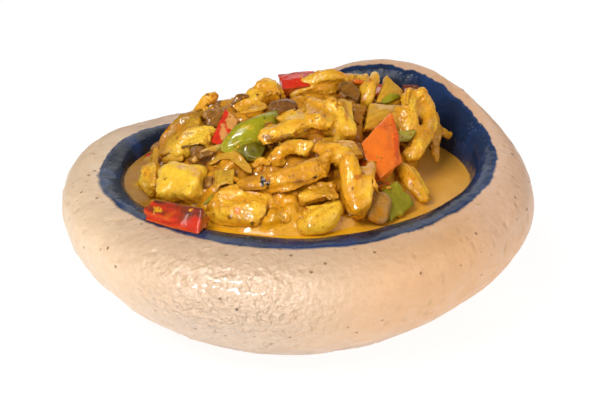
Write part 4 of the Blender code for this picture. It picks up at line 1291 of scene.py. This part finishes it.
def lying_path(tree, spot, normal, direction, length, sink):
    """Five points of a piece lying on the CAD core, bent over it."""
    path = []
    for share in np.linspace(-0.5, 0.5, 5):
        above = spot + direction * share * length + normal * 12
        hit = tree.ray_cast(above, -normal)[0]
        if hit is None:
            hit = spot + direction * share * length
        path.append(np.array(hit - normal * sink))
    return path


def make_rear(materials):
    """Strips of chicken, pepper, onion and mushroom over the sunk far side of the core."""
    draw = np.random.default_rng(21)
    core = Solid("heap_core").tree
    places = free_places(draw, REAR_PIECES, lambda x, y: y > 33 or (x < -25 and y > -35), REAR_CLEAR)
    kinds = ["chicken", "chicken", "onion", "chicken", "green_pepper", "chicken", "mushroom", "chicken",
             "red_pepper", "chicken", "chicken"]
    sizes = {"chicken": (27, 10, 0.75), "onion": (18, 9, 0.3), "green_pepper": (19, 10, 0.35),
             "red_pepper": (17, 10, 0.38), "mushroom": (17, 10, 0.4)}
    made = {kind: [] for kind in sizes}
    for i, (spot, normal) in enumerate(places):
        kind = kinds[i % len(kinds)]
        length, width, flat = sizes[kind]
        length *= draw.uniform(0.7, 1.25)
        width *= draw.uniform(0.8, 1.25)
        side = across_slope(draw, normal)
        sink = width * flat * 0.5 + 0.6 - draw.uniform(0, 1.6)
        sink -= 3.0 * (1 - ramp(spot.y, REAR_FROM, REAR_FULL))
        path = lying_path(core, spot, normal, side, length, sink)
        shares = (0.55, 0.9, 1.05, 0.95, 0.6) if kind == "chicken" else (0.8, 1, 1, 1, 0.8)
        widths = [width * share * draw.uniform(0.85, 1.1) for share in shares]
        skin = Skin(skinned(strand(path, widths, flat, np.array(normal)), LOOSE_VOXEL, 3))
        own = {"onion": dict(share=0.3), "mushroom": dict(film=0.4)}.get(kind, {})
        if kind == "chicken":
            own = dict(bright=draw.uniform(-0.1, 0.15), crumb=0.3)
        paint = dress(kind, skin, 400 + 11 * i, **own)
        made[kind].append((skin.points, skin.faces, paint))
    for kind, parts in made.items():
        add_piece("rear_" + kind, parts, materials[kind])


GAP_REACH = 9.0             # how far a neighbour still darkens a place
GAP_SHADE_TINT = np.array((0.44, 0.32, 0.21))
GAP_RAYS = np.random.default_rng(9).normal(size=(10, 3))
GAP_RAYS /= np.linalg.norm(GAP_RAYS, axis=1)[:, None]


def paint_gap_shade(food):
    """Painted shade: browns the paint down in the gaps between pieces, more where nearby food hides a
    place.
    """
    for obj in bpy.context.scene.objects:
        if not is_food(obj):
            continue
        mesh = obj.data
        points, normals = mesh_points(mesh), mesh_normals(mesh)
        shut = np.ones(len(points))
        for i in np.flatnonzero((points[:, 2] > SAUCE_LEVEL - 1.5) & (normals[:, 2] > -0.7)):
            start = Vector(points[i] + 0.35 * normals[i])
            total = 0.0
            for way in normals[i] + 0.98 * GAP_RAYS:
                away = food.ray_cast(start, Vector(way).normalized(), GAP_REACH)[3]
                total += 0.0 if away is None else 1 - away / GAP_REACH
            shut[i] = total / len(GAP_RAYS)
        edges = mesh_edges(mesh)
        for _ in range(2):
            shut = (shut + neighbour_mean(shut, edges)) / 2
        strength = 1.0 if kind_of(obj.name) == "chicken" else 0.6
        share = strength * ramp(shut, 0.10, 0.72)[:, None]
        layer = mesh.color_attributes["paint"]
        colours = np.empty(len(points) * 4)
        layer.data.foreach_get("color", colours)
        colours = colours.reshape(-1, 4)
        colours[:, :3] *= 1 - share * (1 - GAP_SHADE_TINT)
        layer.data.foreach_set("color", colours.ravel())


# ---------------------------------------- sauce and bits
def is_food(obj):
    """Whether an object is a dressed piece of food, not a CAD solid or the pot."""
    return obj.name.endswith("_cooked") or obj.name.startswith(("heap_filling", "rear_", "small_"))


def shown_tree():
    """A tree of every piece of food made so far."""
    pieces = [obj.data for obj in bpy.context.scene.objects if is_food(obj)]
    return tree_of(*merged([(mesh_points(mesh), mesh_faces(mesh)) for mesh in pieces]))


NEAR_FOOD = 8.0             # millimetres; further off, food doesn't lift the sauce


def make_sauce(material, food):
    """The sauce's level surface: it climbs a little on the wall and on the pieces."""
    angles = even(SAUCE_COLUMNS, 360)
    wall = PotWall(angles)
    share = (SAUCE_LEVEL - SAUCE_FOOT) / (wall.top - SAUCE_FOOT)
    turn = np.arccos(np.clip(share ** (1 / CREST_POWER), 0, 1))
    edge = wall.crest - (wall.crest - wall.inner) * np.sin(turn) + 0.8
    shares = 1 - np.linspace(0, 1, SAUCE_ROWS) ** 1.5 * 0.985
    top = ring_grid([(edge * share, SAUCE_LEVEL + 0 * edge) for share in shares], angles)
    points = top.reshape(-1, 3)
    from_wall = (edge[None, :] * (1 - shares[:, None])).ravel()
    lift = 0.7 * np.exp(-from_wall / 1.2)
    lift += 0.16 * noise(points, 14.0, 601) + 0.07 * noise(points, 4.5, 602)
    away = [food.find_nearest(Vector(point), NEAR_FOOD)[3] for point in points]
    near = np.array([NEAR_FOOD if distance is None else distance for distance in away])
    lift += 0.6 * np.exp(-near / 1.6) * ramp(from_wall, 1.5, 5.0)
    points[:, 2] += lift
    right = ramp(points[:, 0] + 10 * noise(points, 30.0, 603), 15, 75)
    left = ramp(points[:, 0] + 8 * noise(points, 20.0, 606), -45, -75)
    paint = layered(
        mixed(SAUCE_GOLD, SAUCE_TAN, right),
        (SAUCE_LEFT, left),
        (MEAT_BRIGHT, 0.25 * ramp(noise(points, 12.0, 604), 0.1, 0.6)),
        # Painted shadow: the sauce darker in a thin band along the wall
        (SAUCE_EDGE_SHADOW, 0.8 * ramp(2.2 - from_wall + 0.6 * noise(points, 6.0, 605), 0, 2.0)))
    deep = top[0].copy()
    deep[:, :2] *= ((edge - 5) / edge)[:, None]
    deep[:, 2] = SAUCE_LEVEL - 9
    points = np.vstack([points, deep])
    paint = np.vstack([paint, np.tile(SAUCE_GOLD, (SAUCE_COLUMNS, 1))])
    faces = ring_faces(SAUCE_ROWS, SAUCE_COLUMNS)
    low = SAUCE_ROWS * SAUCE_COLUMNS
    for column in range(SAUCE_COLUMNS):
        after = (column + 1) % SAUCE_COLUMNS
        faces.append((low + column, low + after, after, column))
    faces.append(tuple(range(low - SAUCE_COLUMNS, low)))
    faces.append(tuple(range(low, low + SAUCE_COLUMNS))[::-1])
    add_piece("sauce_surface", [(points, faces, paint)], material, ["sauce"])


def make_bits(name, count, sizes, colours, food, draw, material, ball, flat):
    """Small crumbs or flakes lying on the curry where a ray meets it."""
    parts = []
    while len(parts) < count:
        x, y = draw.uniform(-92, 86), draw.uniform(-86, 80)
        slope = Vector((draw.uniform(-0.5, 0.5), draw.uniform(-0.9, 0.3), 1)).normalized()
        spot, normal, _, _ = food.ray_cast(Vector((x, y, 70)) + slope * 150, -slope)
        if spot is None:
            continue
        size = draw.uniform(*sizes)
        turn = np.linalg.qr(draw.normal(size=(3, 3)))[0]
        out = np.array(normal)
        side = np.cross(out, turn[0])
        side /= np.linalg.norm(side)
        other = np.cross(out, side)
        shape = np.array([side * size, other * size * draw.uniform(0.45, 0.9), out * size * flat])
        lumpy = ball[0] * (1 + 0.28 * noise(ball[0] * 2, 1.6, int(draw.integers(1, 999))))[:, None]
        points = lumpy @ shape + np.array(spot) + out * size * flat * 0.3
        colour = np.asarray(colours[int(draw.integers(len(colours)))]) * draw.uniform(0.75, 1.2)
        parts.append((points, ball[1], np.tile(colour, (len(points), 1))))
    add_piece(name, parts, material)


def make_drip(material):
    """A drip of sauce that ran down the pot's left side."""
    wall = PotWall(np.array([181.0]))
    path = [(0.3 - wall.belly_radius(height)[0], -2.0, height) for height in (57.0, 53.0, 49.0, 45.5)]
    drop = strand(path, (1.4, 2.4, 3.4, 3.2), 0.55, np.array((-1.0, 0, 0)))
    skin = Skin(skinned(drop, DRIP_VOXEL, 3))
    paint = np.tile((0.62, 0.25, 0.02), (len(skin.points), 1))
    add_piece("sauce_drip", [(skin.points, skin.faces, paint)], material)


# ---------------------------------------- light and camera
def make_camera():
    data = bpy.data.cameras.new("camera")
    data.sensor_width = SENSOR
    data.lens = SENSOR * CAMERA_AWAY / PICTURE_WIDTH
    camera = bpy.data.objects.new("camera", data)
    camera.location = (0, -CAMERA_AWAY * math.cos(TILT), CAMERA_AIM + CAMERA_AWAY * math.sin(TILT))
    camera.rotation_euler = (math.pi / 2 - TILT, 0, 0)
    bpy.context.collection.objects.link(camera)
    bpy.context.scene.camera = camera


def add_light(name, place, aim, size, power, colour, lit=True):
    """A soft square light, in metres and watts, unseen itself; unless lit, it only glints."""
    data = bpy.data.lights.new(name, 'AREA')
    data.shape = 'RECTANGLE'
    data.size, data.size_y = size
    data.energy = power
    data.color = colour
    light = bpy.data.objects.new(name, data)
    light.location = place
    light.rotation_euler = (Vector(aim) - Vector(place)).to_track_quat('-Z', 'Y').to_euler()
    light.visible_camera = False
    light.visible_diffuse = lit
    bpy.context.collection.objects.link(light)


def make_surroundings():
    corners = np.array([(-6, -6, 0), (6, -6, 0), (6, 6, 0), (-6, 6, 0)])
    table = make_object("table", corners / MM, [(0, 1, 2, 3)])
    table.location.z = -0.0002
    table.data.materials.append(table_material())
    world = bpy.data.worlds.new("room")
    world.use_nodes = True
    sky = world.node_tree.nodes["Background"]
    sky.inputs["Color"].default_value = (1.0, 0.99, 0.97, 1)
    sky.inputs["Strength"].default_value = 0.24
    bpy.context.scene.world = world
    aim = (0, 0, 0.06)
    white, daylight = (1.0, 1.0, 1.0), (0.94, 0.96, 1.0)
    add_light("key", (-0.32, -0.55, 0.78), aim, (0.42, 0.42), 5.3, (1.0, 0.985, 0.96))
    add_light("fill", (0.75, -0.45, 0.45), aim, (0.6, 0.6), 2.0, (1.0, 0.95, 0.88))
    add_light("back", (0.1, 0.8, 0.6), aim, (0.8, 0.4), 1.5, white)
    add_light("low_window", (-0.24, -0.70, 0.17), (-0.02, -0.1, 0.06), (0.08, 0.32), 1.5, daylight)
    add_light("sparkle", (-0.25, -0.60, 0.56), aim, (0.10, 0.10), 3.0, white, False)
    add_light("glint", (-0.22, -0.66, 0.035), (-0.03, -0.1, 0.05), (0.24, 0.06), 3.4, daylight, False)
    bpy.context.scene.view_settings.view_transform = 'Standard'


# ---------------------------------------- the scene
def main():
    make_camera()
    make_surroundings()
    meat = food_material("curried_chicken")
    skin = food_material("pepper_skin", rough=(0.16, 0.34), coat=0.4, glow=0.06, grain=0.12,
                         speck_share=0.07, speck=CHAR, mottle=0.2)
    soft = food_material("cooked_onion", rough=(0.2, 0.4), coat=0.35, glow=0.25, reach=2.0, grain=0.06,
                         speck_share=0.07, mottle=0.3)
    dark = food_material("cooked_mushroom", rough=(0.2, 0.4), coat=0.35, glow=0.05, grain=0.12, mottle=0.3)
    sauce = food_material("curry_sauce", rough=(0.28, 0.44), coat=0.0, glow=0.1, grain=0.03,
                          speck_size=2.2, speck_share=0.07, mottle=0.15)
    materials = {"chicken": meat, "red_pepper": skin, "orange_pepper": skin, "green_pepper": skin,
                 "onion": soft, "mushroom": dark}
    make_pot()
    make_food(materials)
    make_core(meat)
    make_rear(materials)
    make_small(materials, shown_tree())
    food = shown_tree()
    paint_gap_shade(food)
    make_sauce(sauce, food)
    draw = np.random.default_rng(77)
    make_bits("chicken_crumbs", 110, (0.4, 0.9), [MEAT, MEAT_DEEP], food, draw, meat, BALL, 0.7)
    spices = [SEARED, PAPRIKA, PAPRIKA, MEAT_RUST]
    make_bits("spice_flakes", 800, (0.18, 0.48), spices, food, draw, meat, COARSE_BALL, 0.3)
    make_drip(sauce)


main()
